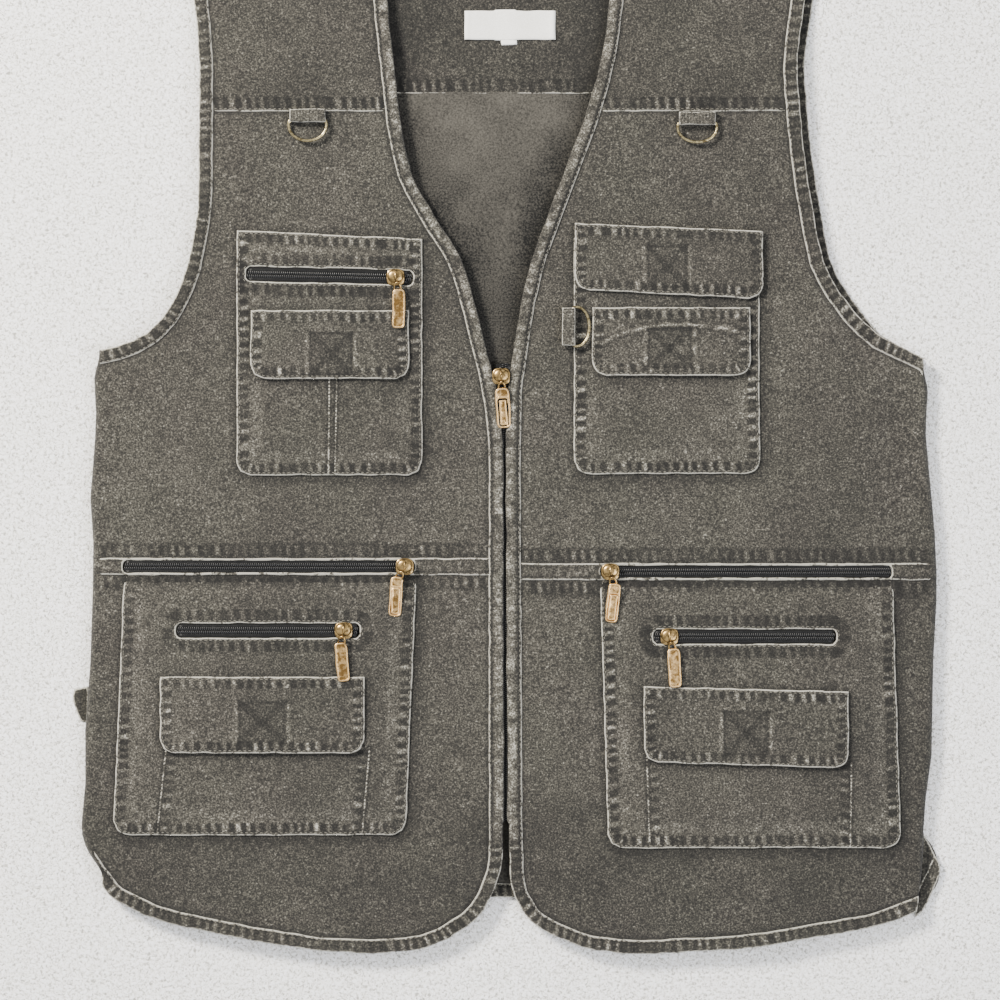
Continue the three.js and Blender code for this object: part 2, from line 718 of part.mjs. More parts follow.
// Turned cloth at the sides: half a tube that joins the front's level to the back's
function makeSideFold(side) {
  const sign = signOf(side);
  const steps = 4;
  const section = [];
  for (let k = 0; k <= steps; k += 1) {
    const angle = (Math.PI * k) / steps;
    section.push([FOLD_RADIUS * Math.sin(angle), FOLD_RADIUS * Math.cos(angle)]);
  }
  const thin = FOLD_RADIUS - CLOTH;
  for (let k = steps; k >= 0; k -= 1) {
    const angle = (Math.PI * k) / steps;
    section.push([thin * Math.sin(angle), thin * Math.cos(angle)]);
  }
  const bottom = side === "right" ? SIDE_VENT_UP + GAP : HEM_CORNER_UP[side];
  const rows = sideEdge(side).filter((point) => point.y > bottom + EDGE_FINE);
  rows.unshift(new THREE.Vector2(sideAt(side, bottom), bottom));
  const positions = [];
  for (const row of rows) {
    for (const [out, up] of section) {
      positions.push(row.x - sign * (FOLD_RADIUS - out), row.y, FOLD_RADIUS + up);
    }
  }
  const count = section.length;
  const faces = [];
  const tri = (a, b, c) => (sign < 0 ? faces.push(a, b, c) : faces.push(a, c, b));
  for (let r = 0; r < rows.length - 1; r += 1) {
    for (let k = 0; k < count; k += 1) {
      const next = (k + 1) % count;
      const [a, b] = [r * count + k, r * count + next];
      const [c, d] = [a + count, b + count];
      tri(a, c, b);
      tri(b, c, d);
    }
  }
  const end = (rows.length - 1) * count;
  for (let k = 0; k < steps; k += 1) {
    const mate = count - 1 - k;
    tri(k, k + 1, mate);
    tri(k + 1, mate - 1, mate);
    tri(end + k, end + mate, end + k + 1);
    tri(end + k + 1, end + mate, end + mate - 1);
  }
  const geometry = new THREE.BufferGeometry();
  geometry.setAttribute("position", new THREE.Float32BufferAttribute(positions, 3));
  geometry.setIndex(faces);
  geometry.computeVertexNormals();
  addMesh(`side_fold_${side}`, geometry, twill);
}

// Front of the vest, one side
function makeFront(side) {
  const region = regions[side];
  const plan = region.outline.intersect(inside);
  const foot = BODY_LENGTH - NECK_DEPTH;
  const aboveFoot = prism(rectangle(-2 * HALF_WIDTH, foot + GAP / 2, 2 * HALF_WIDTH, 2 * BODY_LENGTH));
  const belowFoot = prism(rectangle(-2 * HALF_WIDTH, -TALL, 2 * HALF_WIDTH, foot - GAP / 2));
  addSolid(
    `neck_binding_${side}`,
    cloth(plan.intersect(region.front).intersect(aboveFoot), bindingUnder, bindingTop),
    twillEdge,
  );
  addSolid(
    `front_edge_${side}`,
    cloth(plan.intersect(region.front).intersect(belowFoot), bindingUnder, bindingTop),
    twillEdge,
  );
  addSolid(
    `armhole_binding_${side}`,
    cloth(plan.intersect(region.armhole).subtract(region.frontCut), bindingUnder, bindingTop),
    twillEdge,
  );

  const body = plan.subtract(region.frontCut).subtract(region.armholeCut);
  const waistLow = WAIST_UP[side] - WAISTBAND_WIDTH / 2;
  const waistHigh = WAIST_UP[side] + WAISTBAND_WIDTH / 2;
  const levels = [
    { name: "front_skirt", low: -TALL, high: waistLow - GAP },
    { name: "waistband", low: waistLow, high: waistHigh },
    { name: "front_panel", low: waistHigh + GAP, high: YOKE_SEAM_UP - GAP },
    { name: "front_yoke", low: YOKE_SEAM_UP, high: 2 * BODY_LENGTH },
  ];
  for (const level of levels) {
    const window = prism(rectangle(-2 * HALF_WIDTH, level.low, 2 * HALF_WIDTH, level.high));
    let piece = body.intersect(window);
    if (level.name === "waistband") {
      piece = piece.subtract(prism(zipWindow(ZIPS[`waist_zip_${side}`], GAP)));
    }
    addSolid(`${level.name}_${side}`, cloth(piece, frontUnder, frontTop), twill);
  }
}

// Patch pockets and flaps
function patchPlan(spec, topLean, bottomLean, sideLean, round) {
  const sign = signOf(spec.side);
  const { width, height } = spec.size;
  const shift = sideLean * height;
  const outer = spec.inset + width;
  const rise = spec.up + bottomLean * width;
  const point = (out, up) => new THREE.Vector2(sign * out, up);
  return [
    point(spec.inset + shift, spec.up + height),
    point(spec.inset, spec.up + round),
    point(spec.inset + round * CORNER_POINT, spec.up + round * CORNER_POINT),
    point(spec.inset + round, spec.up),
    point(outer - round, rise),
    point(outer - round * CORNER_POINT, rise + round * CORNER_POINT),
    point(outer, rise + round),
    point(outer + shift, spec.up + height + topLean * width),
  ];
}

function pocketPlan(name) {
  const spec = POCKETS[name];
  return patchPlan(spec, spec.topLean, 0, spec.sideLean, POCKET_CORNER);
}

function depthInside(points, x, y) {
  let nearest = Infinity;
  let crossings = 0;
  points.forEach((a, i) => {
    const b = points[(i + 1) % points.length];
    const edge = new THREE.Vector2().subVectors(b, a);
    const offset = new THREE.Vector2(x - a.x, y - a.y);
    const share = THREE.MathUtils.clamp(offset.dot(edge) / edge.lengthSq(), 0, 1);
    nearest = Math.min(nearest, offset.sub(edge.multiplyScalar(share)).length());
    if (a.y > y !== b.y > y && x < ((b.x - a.x) * (y - a.y)) / (b.y - a.y) + a.x) {
      crossings += 1;
    }
  });
  return crossings % 2 === 1 ? nearest : 0;
}

const pocketUnder = {};
const pocketTop = {};
for (const name of Object.keys(POCKETS)) {
  const plan = pocketPlan(name);
  pocketUnder[name] = (x, y) =>
    frontTop(x, y) + GAP + POCKET_PUFF * ease(depthInside(plan, x, y) / PUFF_MARGIN);
  pocketTop[name] = raised(pocketUnder[name], POCKET_CLOTH);
}

function makePocket(name) {
  let region = prism(pocketPlan(name));
  for (const zip of Object.values(ZIPS)) {
    if (zip.on === name) {
      region = region.subtract(prism(zipWindow(zip, GAP)));
    }
  }
  addSolid(name, cloth(region, pocketUnder[name], pocketTop[name]), twill);
}

function makeFlap(name) {
  const flap = FLAPS[name];
  const side = POCKETS[flap.on].side;
  const plan = patchPlan({ ...flap, side }, flap.lean, flap.lean, 0, POCKET_CORNER);
  const low = raised(pocketTop[flap.on], GAP);
  addSolid(name, cloth(prism(plan), low, raised(low, FLAP_THICK)), twill);
}

// Zips
function zipWindow(zip, margin) {
  const sign = signOf(zip.side);
  const length = zip.length / 2 + margin;
  const half = zip.width / 2 + margin;
  const corner = half * ZIP_CORNER;
  const outline = [
    [length - corner, -half],
    [length, corner - half],
    [length, half - corner],
    [length - corner, half],
    [corner - length, half],
    [-length, half - corner],
    [-length, corner - half],
    [corner - length, -half],
  ];
  const middle = new THREE.Vector2(sign * zip.across, zip.up);
  const turned = (point) => point.rotateAround(new THREE.Vector2(), zip.tilt * TURN).add(middle);
  return outline.map(([x, y]) => turned(new THREE.Vector2(x, y)));
}

function surfaceOf(zip) {
  return zip.on.startsWith("waistband") ? frontTop : pocketTop[zip.on];
}

function makeZip(name) {
  const zip = ZIPS[name];
  const top = raised(surfaceOf(zip), -GAP);
  const low = zip.on.startsWith("waistband") ? raised(top, -ZIP_THICK) : raised(frontTop, GAP);
  addSolid(name, cloth(prism(zipWindow(zip, 0)), low, top), zipBlack);
}

function makeFrontZip() {
  const half = FRONT_ZIP.width / 2;
  const region = prism(rectangle(-half, FRONT_ZIP.bottom, half, FRONT_ZIP.top));
  const top = raised(bindingUnder, -GAP);
  addSolid("front_zip", cloth(region, raised(top, -ZIP_THICK), top), zipBlack);
}

function roundedShape(width, height, round) {
  const [w, h] = [width / 2, height / 2];
  const shape = new THREE.Shape();
  shape.moveTo(-w + round, -h);
  shape.lineTo(w - round, -h);
  shape.absarc(w - round, -h + round, round, -Math.PI / 2, 0);
  shape.absarc(w - round, h - round, round, 0, Math.PI / 2);
  shape.absarc(-w + round, h - round, round, Math.PI / 2, Math.PI);
  shape.absarc(-w + round, -h + round, round, Math.PI, Math.PI * 1.5);
  return shape;
}

// A closed tube along a closed path
function ringSolid(points, radius, sides) {
  const positions = [];
  const count = points.length;
  const middle = points.reduce((sum, p) => sum.add(p), new THREE.Vector3()).divideScalar(count);
  points.forEach((point, i) => {
    const along = new THREE.Vector3().subVectors(points[(i + 1) % count], points[(i + count - 1) % count]);
    const across = new THREE.Vector3().subVectors(point, middle);
    const binormal = new THREE.Vector3().crossVectors(along, across).normalize();
    const normal = new THREE.Vector3().crossVectors(binormal, along).normalize();
    for (let k = 0; k < sides; k += 1) {
      const angle = (2 * Math.PI * (k + 0.5)) / sides;
      const place = point.clone();
      place.addScaledVector(normal, radius * Math.cos(angle));
      place.addScaledVector(binormal, radius * Math.sin(angle));
      positions.push(place.x, place.y, place.z);
    }
  });
  const faces = [];
  for (let i = 0; i < count; i += 1) {
    const j = (i + 1) % count;
    for (let k = 0; k < sides; k += 1) {
      const l = (k + 1) % sides;
      const [a, b, c, d] = [i * sides + k, i * sides + l, j * sides + l, j * sides + k];
      faces.push(a, b, c, a, c, d);
    }
  }
  const geometry = new THREE.BufferGeometry();
  geometry.setAttribute("position", new THREE.Float32BufferAttribute(positions, 3));
  geometry.setIndex(faces);
  return solidOf(geometry);
}

// Slider: domed body, a keel down to the teeth and an oval loop for the pull, which hangs
// towards -Y. The body's underside is at z = 0.
function sliderSolid(keelDrop, loopTurn) {
  const { width, length, height, bevel, corner } = SLIDER;
  const shape = roundedShape(width - 2 * bevel, length - 2 * bevel, corner);
  const body = new THREE.ExtrudeGeometry(shape, {
    depth: height - 2 * bevel,
    bevelThickness: bevel,
    bevelSize: bevel,
    bevelSegments: 1,
    curveSegments: 1,
  });
  const foot = new THREE.BoxGeometry(KEEL.width, KEEL.length, keelDrop + bevel);
  foot.translate(0, 0, (bevel - keelDrop) / 2 + KEEL.sink);
  const loop = [];
  const steps = 8;
  for (let k = 0; k < steps; k += 1) {
    const angle = (2 * Math.PI * k) / steps;
    const y = -length / 2 - LOOP.past + LOOP.reach * Math.cos(angle);
    loop.push(new THREE.Vector3(0, y, loopHeight() + LOOP.rise * Math.sin(angle)));
  }
  const turned = ringSolid(loop, LOOP.wire, 5).rotate([0, 0, loopTurn]);
  return solidOf(body.translate(0, 0, bevel)).add(solidOf(foot)).add(turned);
}

const loopHeight = () => LOOP.rise + LOOP.wire + GAP;

// Pull: flat tab with a slot for the loop at its head and a raised rim round a plain field
function pullSolid() {
  const { width, length, thick, round, slot, slotLong, rim, recess } = PULL;
  const shape = roundedShape(width, length, round);
  const head = length / 2 - slotLong / 2 - rim;
  const hole = new THREE.Path();
  hole.absellipse(0, head, slot / 2, slotLong / 2, 0, 2 * Math.PI, true);
  shape.holes.push(new THREE.Path(hole.getPoints(4).slice(0, -1)));
  const plate = new THREE.ExtrudeGeometry(shape, { depth: thick, bevelEnabled: false, curveSegments: 1 });
  const fieldLength = length - slotLong - 4 * rim;
  const field = new THREE.ExtrudeGeometry(roundedShape(width - 2 * rim, fieldLength, round / 2), {
    depth: thick,
    bevelEnabled: false,
    curveSegments: 1,
  });
  field.translate(0, -length / 2 + rim + fieldLength / 2, thick - recess);
  const solid = solidOf(plate).subtract(solidOf(field));
  return solid.translate([0, -head, -thick / 2]);
}

// The highest point of a sheet's surface over a small patch
function highest(surface, x, y, halfX, halfY) {
  let top = -Infinity;
  const steps = 4;
  for (let i = -steps; i <= steps; i += 1) {
    for (let j = -steps; j <= steps; j += 1) {
      top = Math.max(top, surface(x + (i / steps) * halfX, y + (j / steps) * halfY));
    }
  }
  return top;
}

// A height read off the lattice's own flat triangles
const facetted = (height) => (x, y) => {
  const i = Math.floor(x / LATTICE);
  const j = Math.floor(y / LATTICE);
  const u = x / LATTICE - i;
  const v = y / LATTICE - j;
  const at = (di, dj) => height((i + di) * LATTICE, (j + dj) * LATTICE);
  if (u >= v) {
    return at(0, 0) + u * (at(1, 0) - at(0, 0)) + v * (at(1, 1) - at(1, 0));
  }
  return at(0, 0) + v * (at(0, 1) - at(0, 0)) + u * (at(1, 1) - at(0, 1));
};

function makeSliderAndPull(name, x, y, turns, base, chainTop, rest) {
  const { loopTurn, swing } = turns;
  const keelDrop = Math.max(KEEL.least, base - chainTop - GAP);
  const slider = sliderSolid(keelDrop, loopTurn).translate([x, y, base]);
  addSolid(name.replace("zip", "slider"), slider, brass);
  const arm = SLIDER.length / 2 + LOOP.past + LOOP.reach - LOOP.wire;
  const holeX = x + Math.sin(loopTurn * TURN) * arm;
  const holeY = y - Math.cos(loopTurn * TURN) * arm;
  const holeZ = base + loopHeight();
  const reach = PULL.length - PULL.slotLong / 2 - PULL.rim;
  const tipX = holeX + Math.sin(swing * TURN) * reach;
  const tipY = holeY - Math.cos(swing * TURN) * reach;
  const tipZ = rest(tipX, tipY) + GAP + PULL.thick / 2;
  const sine = THREE.MathUtils.clamp((holeZ - tipZ) / reach, -STEEPEST_PULL, STEEPEST_PULL);
  const mesh = addSolid(name.replace("zip", "pull"), pullSolid(), brass);
  mesh.position.set(holeX, holeY, holeZ);
  mesh.rotation.set(Math.asin(sine), 0, swing * TURN, "ZXY");
}

function makeZipHardware(name) {
  const zip = ZIPS[name];
  const surface = facetted(surfaceOf(zip));
  const fromInner = (zip.sliderAt - 0.5) * zip.length;
  const x = signOf(zip.side) * (zip.across + fromInner);
  const y = zip.up + (x - signOf(zip.side) * zip.across) * Math.tan(zip.tilt * TURN);
  const under = zip.on.startsWith("waistband") ? stackTop(zip.side) : surface;
  const around = highest(surface, x, y, SLIDER.width / 2, SLIDER.length / 2);
  const belowLoop = highest(under, x, y - SLIDER.length, LOOP.wire * 2, LOOP.reach);
  const base = Math.max(around, belowLoop) + GAP;
  const chainTop = highest(surface, x, y, KEEL.width / 2, KEEL.length / 2) - GAP;
  makeSliderAndPull(name, x, y, zip, base, chainTop, footing(stackTop(zip.side)));
}

const footing = (surface) => (x, y) => highest(surface, x, y, PULL_FOOTING, PULL_FOOTING);

// The top of whatever lies highest at a place on one side of the front
function stackTop(side) {
  const layers = [];
  for (const [name, spec] of Object.entries(POCKETS)) {
    if (spec.side === side) {
      layers.push({ plan: pocketPlan(name), height: facetted(pocketTop[name]) });
    }
  }
  for (const [name, flap] of Object.entries(FLAPS)) {
    if (POCKETS[flap.on].side === side) {
      const plan = patchPlan({ ...flap, side }, flap.lean, flap.lean, 0, POCKET_CORNER);
      layers.push({ plan, height: facetted(raised(pocketTop[flap.on], GAP + FLAP_THICK)) });
    }
  }
  const cloth = facetted(frontTop);
  return (x, y) => {
    let top = cloth(x, y);
    for (const layer of layers) {
      if (depthInside(layer.plan, x, y) > 0) {
        top = Math.max(top, layer.height(x, y));
      }
    }
    return top;
  };
}

function makeFrontHardware() {
  const y = FRONT_ZIP.top - SLIDER.length / 2 - FRONT_ZIP.sliderDown;
  const x = FRONT_ZIP.sliderAcross;
  const top = facetted(bindingTop);
  const base = highest(top, x, y, SLIDER.width, SLIDER.length) + GAP;
  const chainTop = highest(facetted(bindingUnder), x, y, SLIDER.width, SLIDER.length) - GAP;
  const turns = { loopTurn: 3, swing: 4 };
  makeSliderAndPull("front_zip", x, y, turns, base, chainTop, footing(top));
}

// The D's line: a straight bar in the tab's mouth and a bow towards +X
function ringLine(ring) {
  const half = ring.width / 2 - RING_WIRE;
  const reach = ring.bow - 2 * RING_WIRE;
  const line = [];
  const barSteps = 3;
  for (let k = 0; k <= barSteps; k += 1) {
    line.push(new THREE.Vector2(0, half * (1 - (2 * k) / barSteps)));
  }
  const bowSteps = 9;
  for (let k = 0; k <= bowSteps; k += 1) {
    const angle = Math.PI * (k / bowSteps - 0.5);
    const out = RING_SHOULDER + (1 - RING_SHOULDER) * Math.cos(angle);
    line.push(new THREE.Vector2(reach * out, half * Math.sin(angle)));
  }
  return line;
}

// Cloth folded round the ring's bar, its flat tail towards -X
function ringTab(ring, thick) {
  const tab = new THREE.Shape();
  tab.moveTo(-RING_TAB.depth + thick / 2, -thick / 2);
  tab.lineTo(0, -thick / 2);
  tab.absarc(0, 0, thick / 2, -Math.PI / 2, Math.PI / 2);
  tab.lineTo(-RING_TAB.depth + thick / 2, thick * RING_TAB.tail);
  const bore = new THREE.Path();
  bore.absarc(0, 0, RING_WIRE + GAP, 0, 2 * Math.PI, true);
  tab.holes.push(bore);
  const loop = new THREE.ExtrudeGeometry(tab, { depth: ring.tab, bevelEnabled: false, curveSegments: 5 });
  loop.translate(0, 0, -ring.tab / 2);
  return loop.rotateX(Math.PI / 2);
}

function makeRing(name) {
  const ring = RINGS[name];
  const thick = 2 * (RING_WIRE + GAP + RING_TAB.wall);
  const under = stackTop(ring.x < 0 ? "left" : "right");
  const turn = ring.turn * TURN;
  const place = (x, y) => {
    const turned = new THREE.Vector2(x, y).rotateAround(new THREE.Vector2(), turn);
    return turned.add(new THREE.Vector2(ring.x, ring.y));
  };
  const line = ringLine(ring).map((point) => place(point.x, point.y));
  const wireNeeds = line.map((point) => highest(under, point.x, point.y, RING_WIRE, RING_WIRE) + RING_WIRE);
  const tabNeeds = [];
  for (const out of [thick / 2, 0, thick / 2 - RING_TAB.depth]) {
    for (const share of [-0.5, -0.25, 0, 0.25, 0.5]) {
      const point = place(out, share * ring.tab);
      tabNeeds.push(under(point.x, point.y) + thick / 2);
    }
  }
  const z = Math.max(...wireNeeds, ...tabNeeds) + GAP;
  const path = line.map((point) => new THREE.Vector3(point.x, point.y, z));
  addSolid(name, ringSolid(path, RING_WIRE, 6), brass);
  const tab = ringTab(ring, thick).rotateZ(turn).translate(ring.x, ring.y, z);
  addSolid(`${name}_tab`, solidOf(tab), twillEdge);
}

// Labels inside the neck, and the strap end at the left side
function makeTrim() {
  const top = CLOTH + GAP + LINING + GAP;
  const label = new THREE.BoxGeometry(LABEL.width, LABEL.height, LABEL.thick);
  label.translate(LABEL.across, LABEL.up, top + LABEL.thick / 2);
  addMesh("label", label, labelCloth);
  const tab = new THREE.BoxGeometry(SIZE_TAB.width, SIZE_TAB.height, LABEL.thick);
  const tabUp = LABEL.up - LABEL.height / 2 - GAP - SIZE_TAB.height / 2;
  tab.translate(SIZE_TAB.across, tabUp, top + LABEL.thick / 2);
  addMesh("size_tab", tab, labelCloth);

  const under = FOLD_RADIUS - Math.sqrt(FOLD_RADIUS ** 2 - (FOLD_RADIUS - SIDE_TAB.thick - GAP) ** 2);
  const low = SIDE_TAB.up - SIDE_TAB.length / 2;
  const high = SIDE_TAB.up + SIDE_TAB.length / 2;
  const edge = Math.min(sideAt("left", low), sideAt("left", high));
  const inner = edge + under - GAP;
  const place = (row) =>
    new THREE.Vector2(edge - row.out * SIDE_TAB.reach, THREE.MathUtils.lerp(low, high, row.up));
  const outline = [
    new THREE.Vector2(inner, high),
    ...SIDE_TAB_EDGE.map(place),
    new THREE.Vector2(inner, low),
  ];
  addSolid("side_tab", prism(outline, 0, SIDE_TAB.thick), twillEdge);
}

makeBack();
for (const side of SIDES) {
  makeSideFold(side);
  makeFront(side);
}
makeFrontZip();
Object.keys(POCKETS).forEach(makePocket);
Object.keys(FLAPS).forEach(makeFlap);
Object.keys(ZIPS).forEach(makeZip);
Object.keys(ZIPS).forEach(makeZipHardware);
makeFrontHardware();
Object.keys(RINGS).forEach(makeRing);
makeTrim();

// The origin is the middle of the bounding box's underside
const group = new THREE.Group();
for (const mesh of meshes) {
  group.add(mesh);
}
const box = new THREE.Box3().setFromObject(group);
const middle = box.getCenter(new THREE.Vector3());
group.position.set(-middle.x, -middle.y, -box.min.z);

export default group;
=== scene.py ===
# Utility work vest of washed grey twill, lying on its back on pale felt and seen from straight above.
import math

import bmesh
import bpy
import numpy as np
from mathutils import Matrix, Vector
from mathutils.bvhtree import BVHTree
from mathutils.geometry import delaunay_2d_cdt


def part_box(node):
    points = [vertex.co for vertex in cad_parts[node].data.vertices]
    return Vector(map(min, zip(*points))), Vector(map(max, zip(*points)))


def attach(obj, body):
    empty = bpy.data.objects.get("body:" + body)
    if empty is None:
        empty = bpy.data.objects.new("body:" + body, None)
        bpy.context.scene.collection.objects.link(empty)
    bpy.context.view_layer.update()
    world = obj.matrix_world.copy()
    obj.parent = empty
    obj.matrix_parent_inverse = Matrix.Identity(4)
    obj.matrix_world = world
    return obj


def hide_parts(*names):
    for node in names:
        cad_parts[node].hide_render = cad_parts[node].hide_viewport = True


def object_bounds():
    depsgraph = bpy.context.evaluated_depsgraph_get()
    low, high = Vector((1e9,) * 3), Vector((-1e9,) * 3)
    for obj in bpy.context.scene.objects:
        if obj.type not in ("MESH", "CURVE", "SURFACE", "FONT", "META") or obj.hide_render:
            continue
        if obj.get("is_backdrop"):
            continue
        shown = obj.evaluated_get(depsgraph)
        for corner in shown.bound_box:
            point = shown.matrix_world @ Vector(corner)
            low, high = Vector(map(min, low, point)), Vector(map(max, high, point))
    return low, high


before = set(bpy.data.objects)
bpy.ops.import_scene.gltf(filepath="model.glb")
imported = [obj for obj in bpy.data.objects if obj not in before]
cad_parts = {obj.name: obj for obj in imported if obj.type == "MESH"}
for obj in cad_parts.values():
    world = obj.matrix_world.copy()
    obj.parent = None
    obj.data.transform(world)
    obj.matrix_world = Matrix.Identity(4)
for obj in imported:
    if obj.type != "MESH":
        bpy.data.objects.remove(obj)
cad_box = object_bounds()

# Everything below is worked out in millimetres and turned to metres where a mesh is made
MM = 0.001
SIDES = ("left", "right")
SIGN = {"left": -1, "right": 1}

# View: the photo shows a square of this size round this point
VIEW_SIZE = 690
VIEW_MIDDLE = (-4.4, -39.9)
CAMERA_HEIGHT = 2400
SENSOR = 36
FLOOR_SIZE = 6000

# Levels and thicknesses of the cloth
FRONT_LEVEL = 10.7
SIDE_ROUND = 5.35
SIDE_TAPER = 20
BINDING_THICK = 3
BINDING_WIDTH = 9.5
BINDING_RISE = 0.75
CLOTH_THICK = 1.5
FLAP_THICK = 1.9
POCKET_RISE = 1.6
POCKET_PUFF = 2.2
PUFF_REACH = 30
FLAP_RISE = 2.2

# Mesh spacing along seams and in the open cloth
FINE = 1.35
OPEN = 2.9
SEAM_REACH = 11
MATE_GAP = 0.9
UNDER_SPACING = 12

# A free edge is rounded over by this depth within this width
EDGE_DEPTH = 0.55
EDGE_WIDE = 0.7

# Gap between the two front edges
FRONT_GAP_X = -1.1
FRONT_GAP_LOW = -262

# Roping: the puckers that a twisted hem makes along its stitching
ROPE_LENGTH = 7.2
ROPE_LEAN = 0.03

# Colours of the cloth from its darkest to its palest parts: unworn cloth and painted shade take the dark
# end, rubbed parts and painted highlights the pale end
TWILL_DARK = "0d0c0a"
TWILL_DEEP = "1c1b18"
TWILL_MIDDLE = "2f2d28"
TWILL_RUBBED_AND_LIT = "555249"
TWILL_PALE = "9b988d"

FRONT_PARTS = ("front_yoke", "front_panel", "waistband", "front_skirt")
POCKETS = ("chest_pocket_left", "chest_pocket_right", "lower_pocket_left", "lower_pocket_right")
FLAPS = {
    "chest_flap_left": "chest_pocket_left",
    "chest_flap_right_upper": "chest_pocket_right",
    "chest_flap_right_lower": "chest_pocket_right",
    "lower_flap_left": "lower_pocket_left",
    "lower_flap_right": "lower_pocket_right",
}
ZIPS = {
    "chest_zip_left": "chest_pocket_left",
    "welt_zip_left": "lower_pocket_left",
    "welt_zip_right": "lower_pocket_right",
    "waist_zip_left": "waistband_left",
    "waist_zip_right": "waistband_right",
}
# Which piece lies over which where two meet: the higher number is the folded edge on top
OVER = {"front_panel": 0, "front_skirt": 0, "front_yoke": 1, "waistband": 2, "pocket": 1.5,
        "binding": 3, "front_edge": 3, "back_panel": 0, "back_hem": 3, "back_lining": 0,
        "back_yoke_facing": 1}


# Small sums
def ease(t):
    t = np.clip(t, 0, 1)
    return t * t * (3 - 2 * t)


def band(distance, near, far, soft=1.1):
    return ease((distance - near) / soft + 0.5) * ease((far - distance) / soft + 0.5)


def bell(distance, width):
    return np.exp(-((distance / width) ** 2))


def mottle(x, y, cell, seed):
    """Smooth random values from -1 to 1 that change over about one cell."""
    table = np.random.default_rng(seed).uniform(-1, 1, (128, 128))
    u, v = x / cell + 1000, y / cell + 1000
    i, j = np.floor(u).astype(int), np.floor(v).astype(int)
    s, t = ease(u - i), ease(v - j)
    corner = lambda di, dj: table[(i + di) % 128, (j + dj) % 128]
    low = corner(0, 0) * (1 - s) + corner(1, 0) * s
    high = corner(0, 1) * (1 - s) + corner(1, 1) * s
    return low * (1 - t) + high * t


def on_grid(table, low, step, x, y):
    """Values of an even grid between its points."""
    u = np.clip((x - low[0]) / step, 0, table.shape[1] - 1.001)
    v = np.clip((y - low[1]) / step, 0, table.shape[0] - 1.001)
    i, j = u.astype(int), v.astype(int)
    s, t = u - i, v - j
    return (table[j, i] * (1 - s) * (1 - t) + table[j, i + 1] * s * (1 - t)
            + table[j + 1, i] * (1 - s) * t + table[j + 1, i + 1] * s * t)


def ends_of(loops):
    """The far end of each stretch of closed loops, in the order of the loops' points."""
    return np.concatenate([np.roll(loop, -1, 0) for loop in loops])


# Outlines of the modelled pieces, seen from above
def plan_loops(node):
    """Closed loops round the faces that look up, the outer one first."""
    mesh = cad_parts[node].data
    mesh.calc_loop_triangles()
    points = np.array([v.co for v in mesh.vertices]) / MM
    keys, weld = np.unique(np.round(points[:, :2], 2), axis=0, return_inverse=True)
    weld = weld.ravel()
    edges = {}
    for triangle in mesh.loop_triangles:
        if triangle.normal.z < 0.3:
            continue
        a, b, c = (int(weld[i]) for i in triangle.vertices)
        for edge in ((a, b), (b, c), (c, a)):
            if edge[::-1] in edges:
                del edges[edge[::-1]]
            else:
                edges[edge] = True
    following = {a: b for a, b in edges}
    loops = []
    while following:
        start, at = following.popitem()
        loop = [start]
        while at in following:
            loop.append(at)
            at = following.pop(at)
        if len(loop) > 2:
            loops.append(keys[loop])
    span = lambda loop: np.ptp(loop[:, 0]) * np.ptp(loop[:, 1])
    return sorted((loop for loop in loops if span(loop) > 20), key=span, reverse=True)


def turned_by(before, after):
    cross = before[:, 0] * after[:, 1] - before[:, 1] * after[:, 0]
    return np.arctan2(cross, (before * after).sum(1))


def follow(loop, spacing):
    """The same loop at an even spacing, curved between its corners."""
    step = np.linalg.norm(loop - np.roll(loop, 1, 0), axis=1)
    loop = loop[step > 0.05]
    ahead = np.roll(loop, -1, 0) - loop
    behind = loop - np.roll(loop, 1, 0)
    corner = np.abs(turned_by(behind, ahead)) > 0.9
    run = np.linalg.norm(ahead, axis=1)
    tangent = (np.roll(loop, -1, 0) - np.roll(loop, 1, 0)) / (run + np.roll(run, 1))[:, None]
    points = []
    for i in range(len(loop)):
        j = (i + 1) % len(loop)
        chord = ahead[i] / run[i]
        leave = chord if corner[i] else tangent[i]
        arrive = chord if corner[j] else tangent[j]
        t = (np.arange(max(1, round(run[i] / spacing))) / max(1, round(run[i] / spacing)))[:, None]
        points.append(
            (2 * t**3 - 3 * t**2 + 1) * loop[i] + (t**3 - 2 * t**2 + t) * run[i] * leave
            + (3 * t**2 - 2 * t**3) * loop[j] + (t**3 - t**2) * run[i] * arrive
        )
    return np.concatenate(points)


def nearest(points, starts, ends):
    """Distance to the nearest of many straight stretches, its number and the share along it."""
    corners, faces = [], []
    for i, ((ax, ay), (bx, by)) in enumerate(zip(starts.tolist(), ends.tolist())):
        corners += [(ax, ay, -1), (bx, by, -1), (bx, by, 1), (ax, ay, 1)]
        faces += [(4 * i, 4 * i + 1, 4 * i + 2), (4 * i, 4 * i + 2, 4 * i + 3)]
    find = BVHTree.FromPolygons(corners, faces, all_triangles=True).find_nearest
    found = [find((x, y, 0.0)) for x, y in points.tolist()]
    gap = np.array([hit[3] for hit in found])
    which = np.array([hit[2] for hit in found], int) // 2
    edge = ends[which] - starts[which]
    along = ((points - starts[which]) * edge).sum(1) / np.maximum((edge**2).sum(1), 1e-9)
    return gap, which, np.clip(along, 0, 1)


